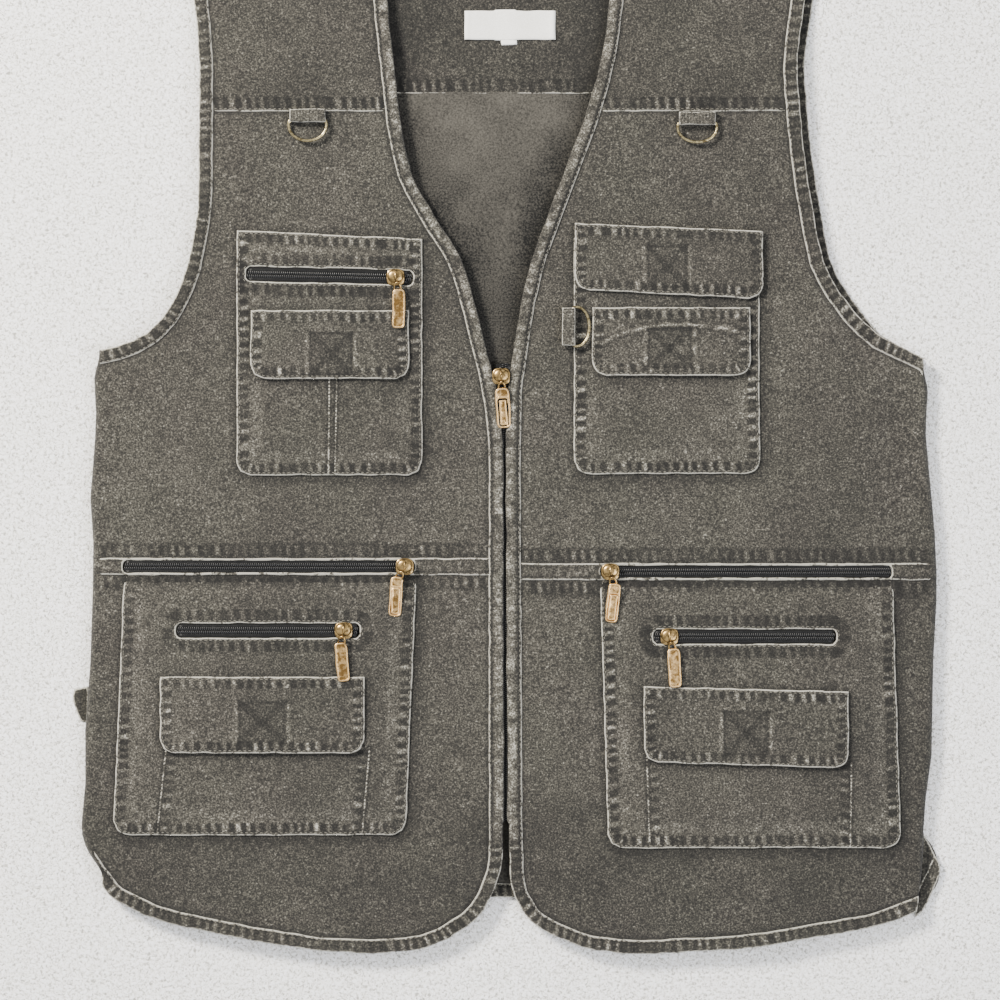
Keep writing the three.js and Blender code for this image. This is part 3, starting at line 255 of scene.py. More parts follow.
def within(points, loops):
    """True inside the outer loop and outside the others."""
    inside = np.zeros(len(points), bool)
    for loop in loops:
        low, high = loop.min(0), loop.max(0)
        near = np.flatnonzero(((points > low) & (points < high)).all(1))
        a, b = loop, np.roll(loop, -1, 0)
        rise = np.where(b[:, 1] == a[:, 1], 1e-9, b[:, 1] - a[:, 1])
        for chunk in np.array_split(near, max(1, len(near) * len(a) // 400_000)):
            x, y = points[chunk, 0, None], points[chunk, 1, None]
            crossing = (a[:, 1] > y) != (b[:, 1] > y)
            hits = crossing & (x < (b[:, 0] - a[:, 0]) * (y - a[:, 1]) / rise + a[:, 0])
            inside[chunk] ^= hits.sum(1) % 2 == 1
    return inside


def rank_of(node):
    if "pocket" in node:
        return OVER["pocket"]
    if "binding" in node:
        return OVER["binding"]
    return next(rank for name, rank in OVER.items() if node.startswith(name))


OUTLINES = {}


def outline_of(node):
    if node not in OUTLINES:
        OUTLINES[node] = plan_loops(node)
    return OUTLINES[node]


class Edges:
    """The edges of one piece as short straight stretches, each knowing what it meets."""

    def __init__(self, node, mates):
        loops = [follow(loop, FINE) for loop in outline_of(node)]
        self.loops = loops
        self.starts = np.concatenate(loops)
        self.ends = ends_of(loops)
        along = self.ends - self.starts
        length = np.linalg.norm(along, axis=1)
        self.run = np.concatenate([[0], np.cumsum(length)[:-1]])
        self.length = length
        self.outward = np.stack([along[:, 1], -along[:, 0]], 1) / length[:, None]
        self.hole = np.concatenate([np.full(len(loop), k > 0) for k, loop in enumerate(loops)])
        middle = (self.starts + self.ends) / 2
        self.mate = np.full(len(middle), "", dtype=object)
        closest = np.full(len(middle), MATE_GAP)
        for mate in mates:
            for loop in outline_of(mate):
                gap, _, _ = nearest(middle, loop, np.roll(loop, -1, 0))
                nearer = gap < closest
                self.mate[nearer] = mate
                closest = np.minimum(gap, closest)
        own = rank_of(node) if mates else 0
        self.rank = own
        self.side = np.array([m.startswith("side_fold") for m in self.mate])
        self.free = self.mate == ""
        rank = np.array([own if s or m == "" else rank_of(m) for m, s in zip(self.mate, self.side)])
        self.under = rank > own
        self.over = rank < own
        self.butt = ~(self.side | self.free | self.under | self.over)

    def meets(self, word):
        return np.array([word in m for m in self.mate])

    def away(self, points, chosen):
        """Distance to the chosen stretches and the run along the edge there."""
        if not chosen.any():
            return np.full(len(points), 1e3), np.zeros(len(points))
        gap, which, share = nearest(points, self.starts[chosen], self.ends[chosen])
        return gap, self.run[chosen][which] + share * self.length[chosen][which]


# Height of the front cloth, smoothed from the modelled pieces
GRID = 6
GRID_X = np.arange(-318, 319, GRID)
GRID_Y = np.arange(-366, 367, GRID)
FAR_BLUR = 45
NEAR_BLUR = 12
LAST_BLUR = 9


def blurred(values, width):
    reach = np.arange(-int(3 * width / GRID), int(3 * width / GRID) + 1) * GRID
    weight = bell(reach, width)
    weight /= weight.sum()
    for axis in (0, 1):
        values = np.apply_along_axis(lambda row: np.convolve(row, weight, "same"), axis, values)
    return values


def front_grid():
    """Heights of the modelled fronts on a grid, run on softly where there is no cloth."""
    points, faces = [], []
    for part in FRONT_PARTS:
        for side in SIDES:
            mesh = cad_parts[f"{part}_{side}"].data
            mesh.calc_loop_triangles()
            first = len(points)
            points += [v.co / MM for v in mesh.vertices]
            faces += [[first + i for i in t.vertices] for t in mesh.loop_triangles]
    tree = BVHTree.FromPolygons(points, faces)
    down = Vector((0, 0, -1))
    known = np.zeros((len(GRID_Y), len(GRID_X)))
    heights = np.zeros_like(known)
    for j, y in enumerate(GRID_Y):
        for i, x in enumerate(GRID_X):
            hit = tree.ray_cast(Vector((x, y, 100)), down)[0]
            if hit is not None:
                known[j, i] = 1
                heights[j, i] = hit.z
    far_share = blurred(known, FAR_BLUR)
    wide = blurred(heights * known, FAR_BLUR) / np.maximum(far_share, 1e-4)
    wide[far_share < 1e-3] = FRONT_LEVEL
    near_share = blurred(known, NEAR_BLUR)
    near = blurred(heights * known, NEAR_BLUR) / np.maximum(near_share, 1e-4)
    near = np.where(near_share > 0.02, near, wide)
    return blurred(np.where(known > 0, heights, near), LAST_BLUR)


FRONT = front_grid()

# Soft folds and creases: middle, length and width in mm, turn in degrees and height in mm
CREASE_DEPTH = 1.7
CREASES = [
    (-215, 130, 70, 9, 64, 0.8), (-238, 100, 60, 8, 58, -0.7), (-250, 40, 60, 12, 80, 0.6),
    (-262, -115, 60, 9, -55, 0.9), (-270, -135, 50, 8, -50, -0.7), (-60, 190, 90, 12, -70, -1.3),
    (-78, 200, 80, 13, -68, 0.8), (-120, 245, 60, 14, 80, 0.5), (-150, -285, 120, 16, -10, 1.1),
    (-60, -290, 80, 14, 8, 0.9), (-100, -265, 120, 12, 4, -0.8), (-30, -120, 120, 12, 88, 0.5),
    (-48, -60, 90, 12, 85, -0.5), (-200, -290, 60, 12, 35, 0.7), (-60, 20, 70, 14, 70, 0.6),
    (215, 110, 80, 12, -62, 1.0), (238, 80, 80, 11, -55, -0.9), (255, 40, 60, 12, -75, 0.8),
    (262, 0, 60, 12, -85, -0.6), (270, -110, 60, 10, 70, 0.6), (60, -130, 110, 14, 92, 0.7),
    (42, -60, 90, 12, 86, -0.5), (90, -285, 110, 16, 12, 1.1), (180, -275, 90, 13, 2, -0.9),
    (60, -262, 60, 10, 55, -0.8), (30, 70, 60, 12, 75, 0.5), (45, 150, 60, 11, 62, -0.6),
    (185, 215, 90, 13, 70, 0.6), (130, 0, 100, 14, 4, 0.5), (-140, 2, 100, 14, -3, 0.5),
]


def wrinkles(x, y):
    rise = 0.9 * mottle(x, y, 62, 1) + 0.45 * mottle(x, y, 27, 2) + 0.14 * mottle(x, y, 11, 3)
    for across, up, long, wide, turn, height in CREASES:
        c, s = math.cos(math.radians(turn)), math.sin(math.radians(turn))
        u = (x - across) * c + (y - up) * s
        v = (y - up) * c - (x - across) * s + 5 * np.sin(u / 23)
        rise = rise + CREASE_DEPTH * height * np.exp(-((u / (0.6 * long)) ** 2) - (v / wide) ** 2)
    return rise


def side_line(side):
    """How far out the turned cloth reaches at each height of the vest."""
    points = np.array([v.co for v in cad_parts[f"side_fold_{side}"].data.vertices]) / MM
    rows = {}
    for x, y, _ in points:
        key = round(float(y), 1)
        rows[key] = max(rows.get(key, 0), abs(float(x)))
    ups = sorted(rows)
    return np.array(ups), np.array([rows[up] for up in ups])


SIDE_LINES = {side: side_line(side) for side in SIDES}


def side_reach(x, y):
    left = np.interp(y, *SIDE_LINES["left"])
    right = np.interp(y, *SIDE_LINES["right"])
    return np.where(x < 0, left, right)


def front_height(x, y):
    """Top of the fronts' cloth: the modelled surface with its wrinkles, turned down round the sides."""
    level = on_grid(FRONT, (GRID_X[0], GRID_Y[0]), GRID, x, y)
    beyond = np.abs(x) - (side_reach(x, y) - SIDE_ROUND)
    calm = ease(-beyond / 30) * ease((340 - y) / 60)
    low_enough = y < SIDE_LINES["left"][0][-1]
    over = np.where(low_enough, np.clip(beyond / SIDE_ROUND, 0, 0.985), 0)
    level = level + calm * wrinkles(x, y)
    return SIDE_ROUND + (level - SIDE_ROUND) * np.sqrt(1 - over**2)


# Cloth meshes
def hexagonal(loops, spacing):
    """Evenly spread points inside the outer loop and outside the others."""
    starts = np.concatenate(loops)
    ends = ends_of(loops)
    low, high = starts.min(0), starts.max(0)
    points = [np.zeros((0, 2))]
    for k, y in enumerate(np.arange(low[1] + 0.01, high[1], spacing * 0.866)):
        cut = (starts[:, 1] > y) != (ends[:, 1] > y)
        a, b = starts[cut], ends[cut]
        crossings = np.sort(a[:, 0] + (y - a[:, 1]) / (b[:, 1] - a[:, 1]) * (b[:, 0] - a[:, 0]))
        x = np.arange(low[0] + (k % 2) * spacing / 2, high[0], spacing)
        x = x[np.searchsorted(crossings, x) % 2 == 1]
        points.append(np.stack([x, np.full(len(x), y)], 1))
    return np.concatenate(points)


def triangles_of(loops, inner):
    """Points and triangles that fill closed loops, with the place of each loop point in them."""
    ring = np.concatenate(loops)
    joins, first = [], 0
    for loop in loops:
        count = len(loop)
        joins += [(first + i, first + (i + 1) % count) for i in range(count)]
        first += count
    result = delaunay_2d_cdt([Vector(p) for p in np.concatenate([ring, inner])], joins, [], 1, 1e-4)
    placed = np.array(result[0])
    faces = np.array(result[2])
    if len(loops) > 1:
        faces = faces[~within(placed[faces].mean(1), loops[1:])]
    place_of = np.zeros(len(ring) + len(inner), int)
    for at, origins in enumerate(result[3]):
        place_of[origins] = at
    return placed, faces, place_of[: len(ring)], np.array(joins)


def put_in_scene(name, data):
    thing = bpy.data.objects.new(name, data)
    bpy.context.scene.collection.objects.link(thing)
    return thing


def add_mesh(name, points, faces, material, replaced=(), smooth=True, values=None):
    mesh = bpy.data.meshes.new(name)
    mesh.from_pydata((np.asarray(points) * MM).tolist(), [], [list(map(int, f)) for f in faces])
    mesh.update()
    for key, numbers in (values or {}).items():
        layer = mesh.attributes.new(key, "FLOAT", "POINT")
        layer.data.foreach_set("value", np.asarray(numbers, float))
    mesh.polygons.foreach_set("use_smooth", [smooth] * len(mesh.polygons))
    mesh.materials.append(material)
    piece = put_in_scene(name, mesh)
    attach(piece, "root")
    if replaced:
        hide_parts(*replaced)
    return piece


# Shortest side used in working out a sheet's size
SMALLEST_SHEET = 10.1


def declare_sheet(area, flat):
    """Works out how large the piece is when it is laid out flat; the result is not kept."""
    width, length = (max(size, SMALLEST_SHEET) for size in flat)
    area = min(max(area, 0.301 * width * length), width * length)


def rope(run, distance, seed, length=ROPE_LENGTH, lean=ROPE_LEAN):
    """Puckers along a seam: 1 on each raised rib and 0 between, uneven as real ones are."""
    wander = 0.42 * mottle(run, distance * 0, length * 2.3, seed)
    wave = np.cos(2 * math.pi * (run / length + wander + lean * distance / length * 4))
    return ease(0.45 + 0.75 * wave) * (0.75 + 0.45 * mottle(run, distance * 0, length * 1.1, seed + 1))


class Cloth:
    """One piece of cloth: its plan, its height and its tone point by point, which holds wear, painted shade
    and painted highlights.
    """

    def __init__(self, node, mates, fine=FINE, open_spacing=OPEN, reach=SEAM_REACH, lines=()):
        self.node = node
        self.edges = Edges(node, mates)
        self.seed = sum(map(ord, node)) % 997
        loops = self.grown()
        close = hexagonal(loops, fine)
        wide = hexagonal(loops, open_spacing)
        starts, ends = np.concatenate(loops), ends_of(loops)
        marked = [np.array(line) for line in lines]
        detail_starts = np.concatenate([starts] + [line[:-1] for line in marked])
        detail_ends = np.concatenate([ends] + [line[1:] for line in marked])
        keep = []
        for points, near in ((close, True), (wide, False)):
            gap = nearest(points, starts, ends)[0]
            detail = nearest(points, detail_starts, detail_ends)[0] if marked else gap
            chosen = (gap > 0.62 * fine) & (detail <= reach) if near else detail > reach + open_spacing / 2
            keep.append(points[chosen])
        rim = self.inset(loops, 0.45)
        inner = np.concatenate([*keep, rim])
        placed, faces, self.ring, self.joins = triangles_of(loops, inner)
        self.points = placed
        self.faces = faces
        self.x, self.y = placed[:, 0], placed[:, 1]
        self.tone = np.zeros(len(placed))
        self.line = np.full(len(placed), 50.0)
        self.lift = np.zeros(len(placed))
        self.loops = loops
        self.known = {}

    def grown(self):
        """Where the piece runs on beneath a neighbour, or round the side of the vest."""
        edges, loops, first = self.edges, [], 0
        self.wander()
        shift = np.zeros_like(edges.starts)
        shift[edges.under] = edges.outward[edges.under] * 1.5
        shift[edges.butt] = edges.outward[edges.butt] * 0.14
        outer = edges.side & (np.abs(edges.outward[:, 0]) > 0.7) & (edges.rank < OVER["binding"])
        bound = edges.meets("binding") | edges.meets("front_edge")
        if outer.any() and bound.any():
            gap = nearest(edges.starts[outer], edges.starts[bound], edges.ends[bound])[0]
            reach = (SIDE_ROUND - 0.35) * ease(gap / SIDE_TAPER)
            shift[outer] = np.sign(edges.starts[outer, :1]) * reach[:, None] * [1, 0]
        for loop in edges.loops:
            own = shift[first : first + len(loop)]
            before = np.roll(own, 1, 0)
            moved = np.where(np.abs(own) > np.abs(before), own, before)
            loops.append(loop + moved)
            first += len(loop)
        return [self.untangled(loop) for loop in loops]

    def wander(self):
        """Lets sewn edges run unevenly, and the two front edges close most of the gap between them."""
        edges = self.edges
        loose = edges.free | edges.over
        reach = 0.3 * loose * mottle(edges.run, edges.run * 0, 8, self.seed)
        x, y = edges.starts.T
        facing = edges.free & (np.abs(x - FRONT_GAP_X) < 7) & (y > FRONT_GAP_LOW)
        reach += facing * (0.62 + 0.5 * mottle(y, x * 0, 21, self.seed + 3))
        edges.starts = edges.starts + edges.outward * reach[:, None]
        first = 0
        for k, loop in enumerate(edges.loops):
            edges.loops[k] = edges.starts[first : first + len(loop)]
            first += len(loop)
        edges.ends = ends_of(edges.loops)

    @staticmethod
    def untangled(loop):
        step = np.linalg.norm(loop - np.roll(loop, 1, 0), axis=1)
        return loop[step > 0.3]

    @staticmethod
    def inset(loops, distance):
        points = []
        for loop in loops:
            along = np.roll(loop, -1, 0) - np.roll(loop, 1, 0)
            along /= np.maximum(np.linalg.norm(along, axis=1), 1e-6)[:, None]
            points.append(loop + np.stack([-along[:, 1], along[:, 0]], 1) * distance)
        rim = np.concatenate(points)
        clear = nearest(rim, np.concatenate(loops), ends_of(loops))[0] > distance * 0.9
        return rim[clear & within(rim, loops)]

    def away(self, chosen):
        key = chosen.tobytes()
        if key not in self.known:
            self.known[key] = self.edges.away(self.points, chosen)
        return self.known[key]

    def rope_band(self, chosen, near, far, rise=0.26, dark=0.4, pale=0.85, length=ROPE_LENGTH, share=1):
        distance, run = self.away(chosen)
        strength = band(distance, near, far) * share
        ribs = rope(run, distance, self.seed + int(near * 10), length)
        patch = 0.75 + 0.35 * mottle(self.x, self.y, 26, self.seed + 5)
        # The ribs are painted paler and the hollows darker: partly wear on the raised ribs, partly painted
        # light and shade of the puckers
        self.tone += strength * patch * (pale * ribs - dark)
        self.lift += strength * rise * (ribs - 0.5)

    def bright_edge(self, chosen):
        distance, _ = self.away(chosen)
        self.line = np.minimum(self.line, distance)

    def paint_cast_shadow(self, loop, depth=0.3, width=5, lean=(1.6, -1.6)):
        """Painted shadow: darkens the cloth round a piece lying on top of it, shifted by lean down and to
        the right, as if cast by light from the upper left.
        """
        near = ((self.points > loop.min(0) - 20) & (self.points < loop.max(0) + 20)).all(1)
        if near.any():
            spots = self.points[near] - lean
            gap = nearest(spots, loop, np.roll(loop, -1, 0))[0]
            self.tone[near] -= depth * bell(gap, width)

    def groove(self, chosen, at, depth=0.22, width=0.55):
        distance, _ = self.away(chosen)
        self.lift -= depth * bell(distance - at, width)
        # Painted shade along the sunken line
        self.tone -= 0.3 * bell(distance - at, width)

    def seam(self, path, depth=0.3, pale=True, shade=0.35, width=0.8):
        """A sewn line across the piece."""
        path = np.array(path, float)
        gap, _, _ = nearest(self.points, path[:-1], path[1:])
        self.lift -= depth * bell(gap, width)
        # Painted shade just beside the sunken line
        self.tone -= shade * bell(gap - 1.1, 0.9)
        if pale:
            self.line = np.minimum(self.line, gap + 0.5)
        return gap

    def seam_rope(self, path, near, far, side=0, **look):
        """Puckers beside a sewn line, on one side of it or on both."""
        path = np.array(path, float)
        gap, which, share = nearest(self.points, path[:-1], path[1:])
        along = path[1:] - path[:-1]
        length = np.linalg.norm(along, axis=1)
        run = np.concatenate([[0], np.cumsum(length)])[which] + share * length[which]
        offset = self.points - path[:-1][which]
        hand = along[which, 0] * offset[:, 1] - along[which, 1] * offset[:, 0]
        strength = band(gap, near, far) * (1 if side == 0 else (np.sign(hand) == side))
        ribs = rope(run, gap, self.seed + 31)
        # The ribs are painted paler and the hollows darker: partly wear on the raised ribs, partly painted
        # light and shade of the puckers
        self.tone += strength * (look.get("pale", 0.7) * ribs - look.get("dark", 0.35))
        self.lift += strength * look.get("rise", 0.2) * (ribs - 0.5)

    def finish(self, top, thick, material, floor=None, folded_width=None, layers=1,
               soft=True):
        """Closes the sheet with its rim and its underside, and adds it to the scene."""
        free, _ = self.away(self.edges.free | self.edges.over)
        round_off = EDGE_DEPTH * (1 - np.clip(free / EDGE_WIDE, 0, 1)) ** 2 if soft else 0
        self.tone += 0.07 * mottle(self.x, self.y, 75, 7) + 0.06 * mottle(self.x, self.y, 16, 8)
        height = top + self.lift - round_off
        count = len(self.points)
        coarse = hexagonal(self.loops, UNDER_SPACING)
        if len(coarse):
            to_edge = nearest(coarse, np.concatenate(self.loops), ends_of(self.loops))[0]
            coarse = coarse[to_edge > UNDER_SPACING / 3]
        spots, lower, low_ring, _ = triangles_of(self.loops, coarse)
        flat = BVHTree.FromPolygons(
            [(x, y, 0) for x, y in self.points.tolist()], self.faces.tolist(), all_triangles=True)
        found = [flat.find_nearest((x, y, 0))[2] for x, y in spots.tolist()]
        depth = height[self.faces[found]].mean(1) - thick
        rim = self.ring
        depth[low_ring] = height[rim] - thick
        if floor is not None:
            depth[low_ring] = np.minimum(floor(self.x[rim], self.y[rim]), height[rim] - 0.4)
        under = np.column_stack([spots, depth])
        upper = np.column_stack([self.points, height])
        walls = [(rim[a], count + low_ring[a], count + low_ring[b], rim[b]) for a, b in self.joins
                 if rim[a] != rim[b]]
        faces = [tuple(f) for f in self.faces] + walls + [tuple((count + f)[::-1]) for f in lower]
        points = np.concatenate([upper, under])
        low, high = self.points.min(0), self.points.max(0)
        pad = len(under)
        values = {
            "tone": np.concatenate([self.tone, np.full(pad, -0.25)]),
            "line_mm": np.concatenate([self.line, np.full(pad, 20.0)]),
        }
        replaced = [self.node] if self.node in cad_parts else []
        piece = add_mesh(f"{self.node}_cloth", points, faces, material, replaced, values=values)
        corner = self.points[self.faces]
        first_edge, second = corner[:, 1] - corner[:, 0], corner[:, 2] - corner[:, 0]
        area = np.abs(first_edge[:, 0] * second[:, 1] - first_edge[:, 1] * second[:, 0]).sum() / 2
        self.height = height
        if not soft:
            return
        if folded_width:
            flat = (2 * folded_width, area / folded_width)
            declare_sheet(layers * area, flat)
        else:
            declare_sheet(area, tuple(high - low))


# Materials
def linear(code):
    """Linear colour from an sRGB hex value."""
    parts = [int(code[i : i + 2], 16) / 255 for i in (0, 2, 4)]
    return [c / 12.92 if c <= 0.04045 else ((c + 0.055) / 1.055) ** 2.4 for c in parts] + [1]


def add(tree, kind, inputs=None, **settings):
    made = tree.nodes.new(kind)
    for name, value in settings.items():
        setattr(made, name, value)
    for socket, value in (inputs or {}).items():
        if isinstance(value, bpy.types.NodeSocket):
            tree.links.new(value, made.inputs[socket])
        else:
            made.inputs[socket].default_value = value
    return made


def stops(ramp, *colours):
    """Sets a ramp's colours: pairs of place and sRGB hex."""
    elements = ramp.color_ramp.elements
    while len(elements) < len(colours):
        elements.new(0.5)
    for element, (place, code) in zip(elements, colours):
        element.position = place
        element.color = linear(code)
    return ramp.outputs["Color"]


def new_material(name):
    material = bpy.data.materials.new(name)
    material.use_nodes = True
    tree = material.node_tree
    tree.nodes.clear()
    shader = add(tree, "ShaderNodeBsdfPrincipled")
    output = add(tree, "ShaderNodeOutputMaterial")
    tree.links.new(shader.outputs["BSDF"], output.inputs["Surface"])
    place = add(tree, "ShaderNodeTexCoord").outputs["Object"]
    return material, tree, shader, place


def size_scale(mm):
    """Texture scale that makes one cell this many millimetres wide."""
    return 1000 / mm


# Pile of the brushed face in mm, drawn a little coarser than it is so that it shows
GRAIN = 1.15
# Tufts that felt together in the wash, and the slow drift of the dye
CLUMP = 4.2
CLOUD = 55
# Width of the worn line along a folded edge
LINE_WIDE = 0.95
# Drift of the dye in the smooth cloths, unevenness of moulded nylon, and fibres of the felt,
# which are drawn coarser than they are so that they show
WEAVE_CLOUD = 40
COIL_UNEVEN = 3
FELT_FIBRE = 1.9


def twill(name, lighter=0.0):
    """Brushed cotton twill, washed until it is mottled: a dull nap, pale where folds rub."""
    material, tree, shader, place = new_material(name)
    grain = add(tree, "ShaderNodeTexNoise",
                {"Vector": place, "Scale": size_scale(GRAIN), "Detail": 2.5, "Roughness": 0.62,
                 "Distortion": 0.4})
    clump = add(tree, "ShaderNodeTexNoise",
                {"Vector": place, "Scale": size_scale(CLUMP), "Detail": 2.0, "Roughness": 0.6})
    cloud = add(tree, "ShaderNodeTexNoise",
                {"Vector": place, "Scale": size_scale(CLOUD), "Detail": 3.0, "Roughness": 0.5})
    # The tone attribute brings in painted shade and painted highlights as well as the cloth's own mottling
    # and wear
    tone = add(tree, "ShaderNodeAttribute", attribute_name="tone")
    line = add(tree, "ShaderNodeAttribute", attribute_name="line_mm")
    speckle = add(tree, "ShaderNodeMapRange",
                  {"Value": grain.outputs["Fac"], "From Min": 0.3, "From Max": 0.7,
                   "To Min": -0.31, "To Max": 0.31}, clamp=False)
    lumps = add(tree, "ShaderNodeMapRange",
                {"Value": clump.outputs["Fac"], "From Min": 0.3, "From Max": 0.7,
                 "To Min": -0.06, "To Max": 0.06}, clamp=False)
    worn = add(tree, "ShaderNodeMapRange",
               {"Value": line.outputs["Fac"], "From Min": LINE_WIDE * 0.35, "From Max": LINE_WIDE * 1.5,
                "To Min": 0.95, "To Max": 0.0}, interpolation_type="SMOOTHSTEP")
    halved = add(tree, "ShaderNodeMapRange",
                 {"Value": tone.outputs["Fac"], "From Min": -1.0, "From Max": 1.0,
                  "To Min": 0.0 + lighter, "To Max": 1.0 + lighter}, clamp=False)
    first = add(tree, "ShaderNodeMath", {0: halved.outputs["Result"], 1: speckle.outputs["Result"]},
                operation="ADD")
    second = add(tree, "ShaderNodeMath", {0: first.outputs["Value"], 1: lumps.outputs["Result"]},
                 operation="ADD")
    rub = add(tree, "ShaderNodeMapRange",
              {"Value": clump.outputs["Fac"], "From Min": 0.36, "From Max": 0.56,
               "To Min": 0.35, "To Max": 1.0})
    broken = add(tree, "ShaderNodeMath", {0: worn.outputs["Result"], 1: rub.outputs["Result"]},
                 operation="MULTIPLY")
    total = add(tree, "ShaderNodeMath", {0: second.outputs["Value"], 1: broken.outputs["Value"]},
                operation="ADD")
    colour = stops(
        add(tree, "ShaderNodeValToRGB", {"Fac": total.outputs["Value"]}),
        (0.05, TWILL_DARK), (0.3, TWILL_DEEP), (0.5, TWILL_MIDDLE), (0.75, TWILL_RUBBED_AND_LIT),
        (0.98, TWILL_PALE),
    )
    tint = add(tree, "ShaderNodeMapRange",
               {"Value": cloud.outputs["Fac"], "From Min": 0.35, "From Max": 0.65,
                "To Min": 0.492, "To Max": 0.508})
    hue = add(tree, "ShaderNodeHueSaturation",
              {"Hue": tint.outputs["Result"], "Saturation": 1.0, "Color": colour})
    tree.links.new(hue.outputs["Color"], shader.inputs["Base Color"])
    bump = add(tree, "ShaderNodeBump",
               {"Strength": 0.55, "Distance": 0.35 * MM, "Height": grain.outputs["Fac"]})
    tree.links.new(bump.outputs["Normal"], shader.inputs["Normal"])
    shader.inputs["Roughness"].default_value = 0.93
    shader.inputs["Specular IOR Level"].default_value = 0.2
    shader.inputs["Sheen Weight"].default_value = 0.12
    shader.inputs["Sheen Roughness"].default_value = 0.6
    return material


def plain_cloth(name, dark, pale, cell, roughness, relief=0.25):
    """Smooth woven cloth: an even colour broken only by its fine threads and soft clouds."""
    material, tree, shader, place = new_material(name)
    threads = add(tree, "ShaderNodeTexNoise",
                  {"Vector": place, "Scale": size_scale(cell), "Detail": 2.0, "Roughness": 0.6})
    cloud = add(tree, "ShaderNodeTexNoise",
                {"Vector": place, "Scale": size_scale(WEAVE_CLOUD), "Detail": 3.0, "Roughness": 0.6})
    drift = add(tree, "ShaderNodeMapRange",
                {"Value": cloud.outputs["Fac"], "From Min": 0.3, "From Max": 0.7,
                 "To Min": -0.05, "To Max": 0.05})
    # The tone attribute carries the cloth's own mottling and, on the lining, painted shade
    tone = add(tree, "ShaderNodeAttribute", attribute_name="tone")
    first = add(tree, "ShaderNodeMath", {0: threads.outputs["Fac"], 1: tone.outputs["Fac"]},
                operation="ADD")
    total = add(tree, "ShaderNodeMath", {0: first.outputs["Value"], 1: drift.outputs["Result"]},
                operation="ADD")
    colour = stops(add(tree, "ShaderNodeValToRGB", {"Fac": total.outputs["Value"]}),
                   (0.2, dark), (0.8, pale))
    tree.links.new(colour, shader.inputs["Base Color"])
    bump = add(tree, "ShaderNodeBump",
               {"Strength": relief, "Distance": 0.2 * MM, "Height": threads.outputs["Fac"]})
    tree.links.new(bump.outputs["Normal"], shader.inputs["Normal"])
    shader.inputs["Roughness"].default_value = roughness
    shader.inputs["Specular IOR Level"].default_value = 0.25
    return material


def metal(name, deep, bright, roughness, patch=2.4):
    """Plated brass: warm and glossy where rubbed, brown where the plating has aged."""
    material, tree, shader, place = new_material(name)
    aged = add(tree, "ShaderNodeTexNoise",
               {"Vector": place, "Scale": size_scale(patch), "Detail": 3.0, "Roughness": 0.6})
    rubbed = add(tree, "ShaderNodeAttribute", attribute_name="tone")
    wear = add(tree, "ShaderNodeMath", {0: aged.outputs["Fac"], 1: rubbed.outputs["Fac"]}, operation="ADD")
    colour = stops(add(tree, "ShaderNodeValToRGB", {"Fac": wear.outputs["Value"]}),
                   (0.35, deep), (0.6, bright))
    rough = add(tree, "ShaderNodeMapRange",
                {"Value": aged.outputs["Fac"], "From Min": 0.3, "From Max": 0.7,
                 "To Min": roughness + 0.15, "To Max": roughness})
    tree.links.new(colour, shader.inputs["Base Color"])
    tree.links.new(rough.outputs["Result"], shader.inputs["Roughness"])
    shader.inputs["Metallic"].default_value = 1.0
    bump = add(tree, "ShaderNodeBump",
               {"Strength": 0.12, "Distance": 0.1 * MM, "Height": aged.outputs["Fac"]})
    tree.links.new(bump.outputs["Normal"], shader.inputs["Normal"])
    return material


def nylon(name, code, roughness):
    """Moulded nylon: black, with a soft shine on each coil."""
    material, tree, shader, place = new_material(name)
    uneven = add(tree, "ShaderNodeTexNoise",
                 {"Vector": place, "Scale": size_scale(COIL_UNEVEN), "Detail": 2.0})
    rough = add(tree, "ShaderNodeMapRange",
                {"Value": uneven.outputs["Fac"], "From Min": 0.3, "From Max": 0.7,
                 "To Min": roughness, "To Max": roughness + 0.15})
    tree.links.new(rough.outputs["Result"], shader.inputs["Roughness"])
    shader.inputs["Base Color"].default_value = linear(code)
    return material


TWILL = twill("brushed_twill")
LINING = plain_cloth("smooth_lining", "090908", "514e47", 1.2, 0.85)
LABEL = plain_cloth("woven_label", "dcdad2", "f6f5ee", 0.9, 0.7)
TAPE = plain_cloth("zip_tape", "040404", "121211", 0.8, 0.85)
COIL = nylon("nylon_coil", "0b0b0b", 0.3)
THREAD = plain_cloth("sewing_thread", "5f5c53", "8b887d", 0.6, 0.8)
AGED_BRASS = metal("antique_brass", "4f4028", "b89a66", 0.24)
PULL_BRASS = metal("brass_pull", "6f552f", "dbb67e", 0.3, 3)
RING_BRASS = metal("pale_brass", "5c5138", "bcae85", 0.22)


# Front, back and pockets
def mates_of(side):
    return [f"{part}_{side}" for part in FRONT_PARTS] + [
        f"neck_binding_{side}", f"front_edge_{side}", f"armhole_binding_{side}", f"side_fold_{side}"]


def others(node, names):
    return [name for name in names if name != node]


STITCHED = []


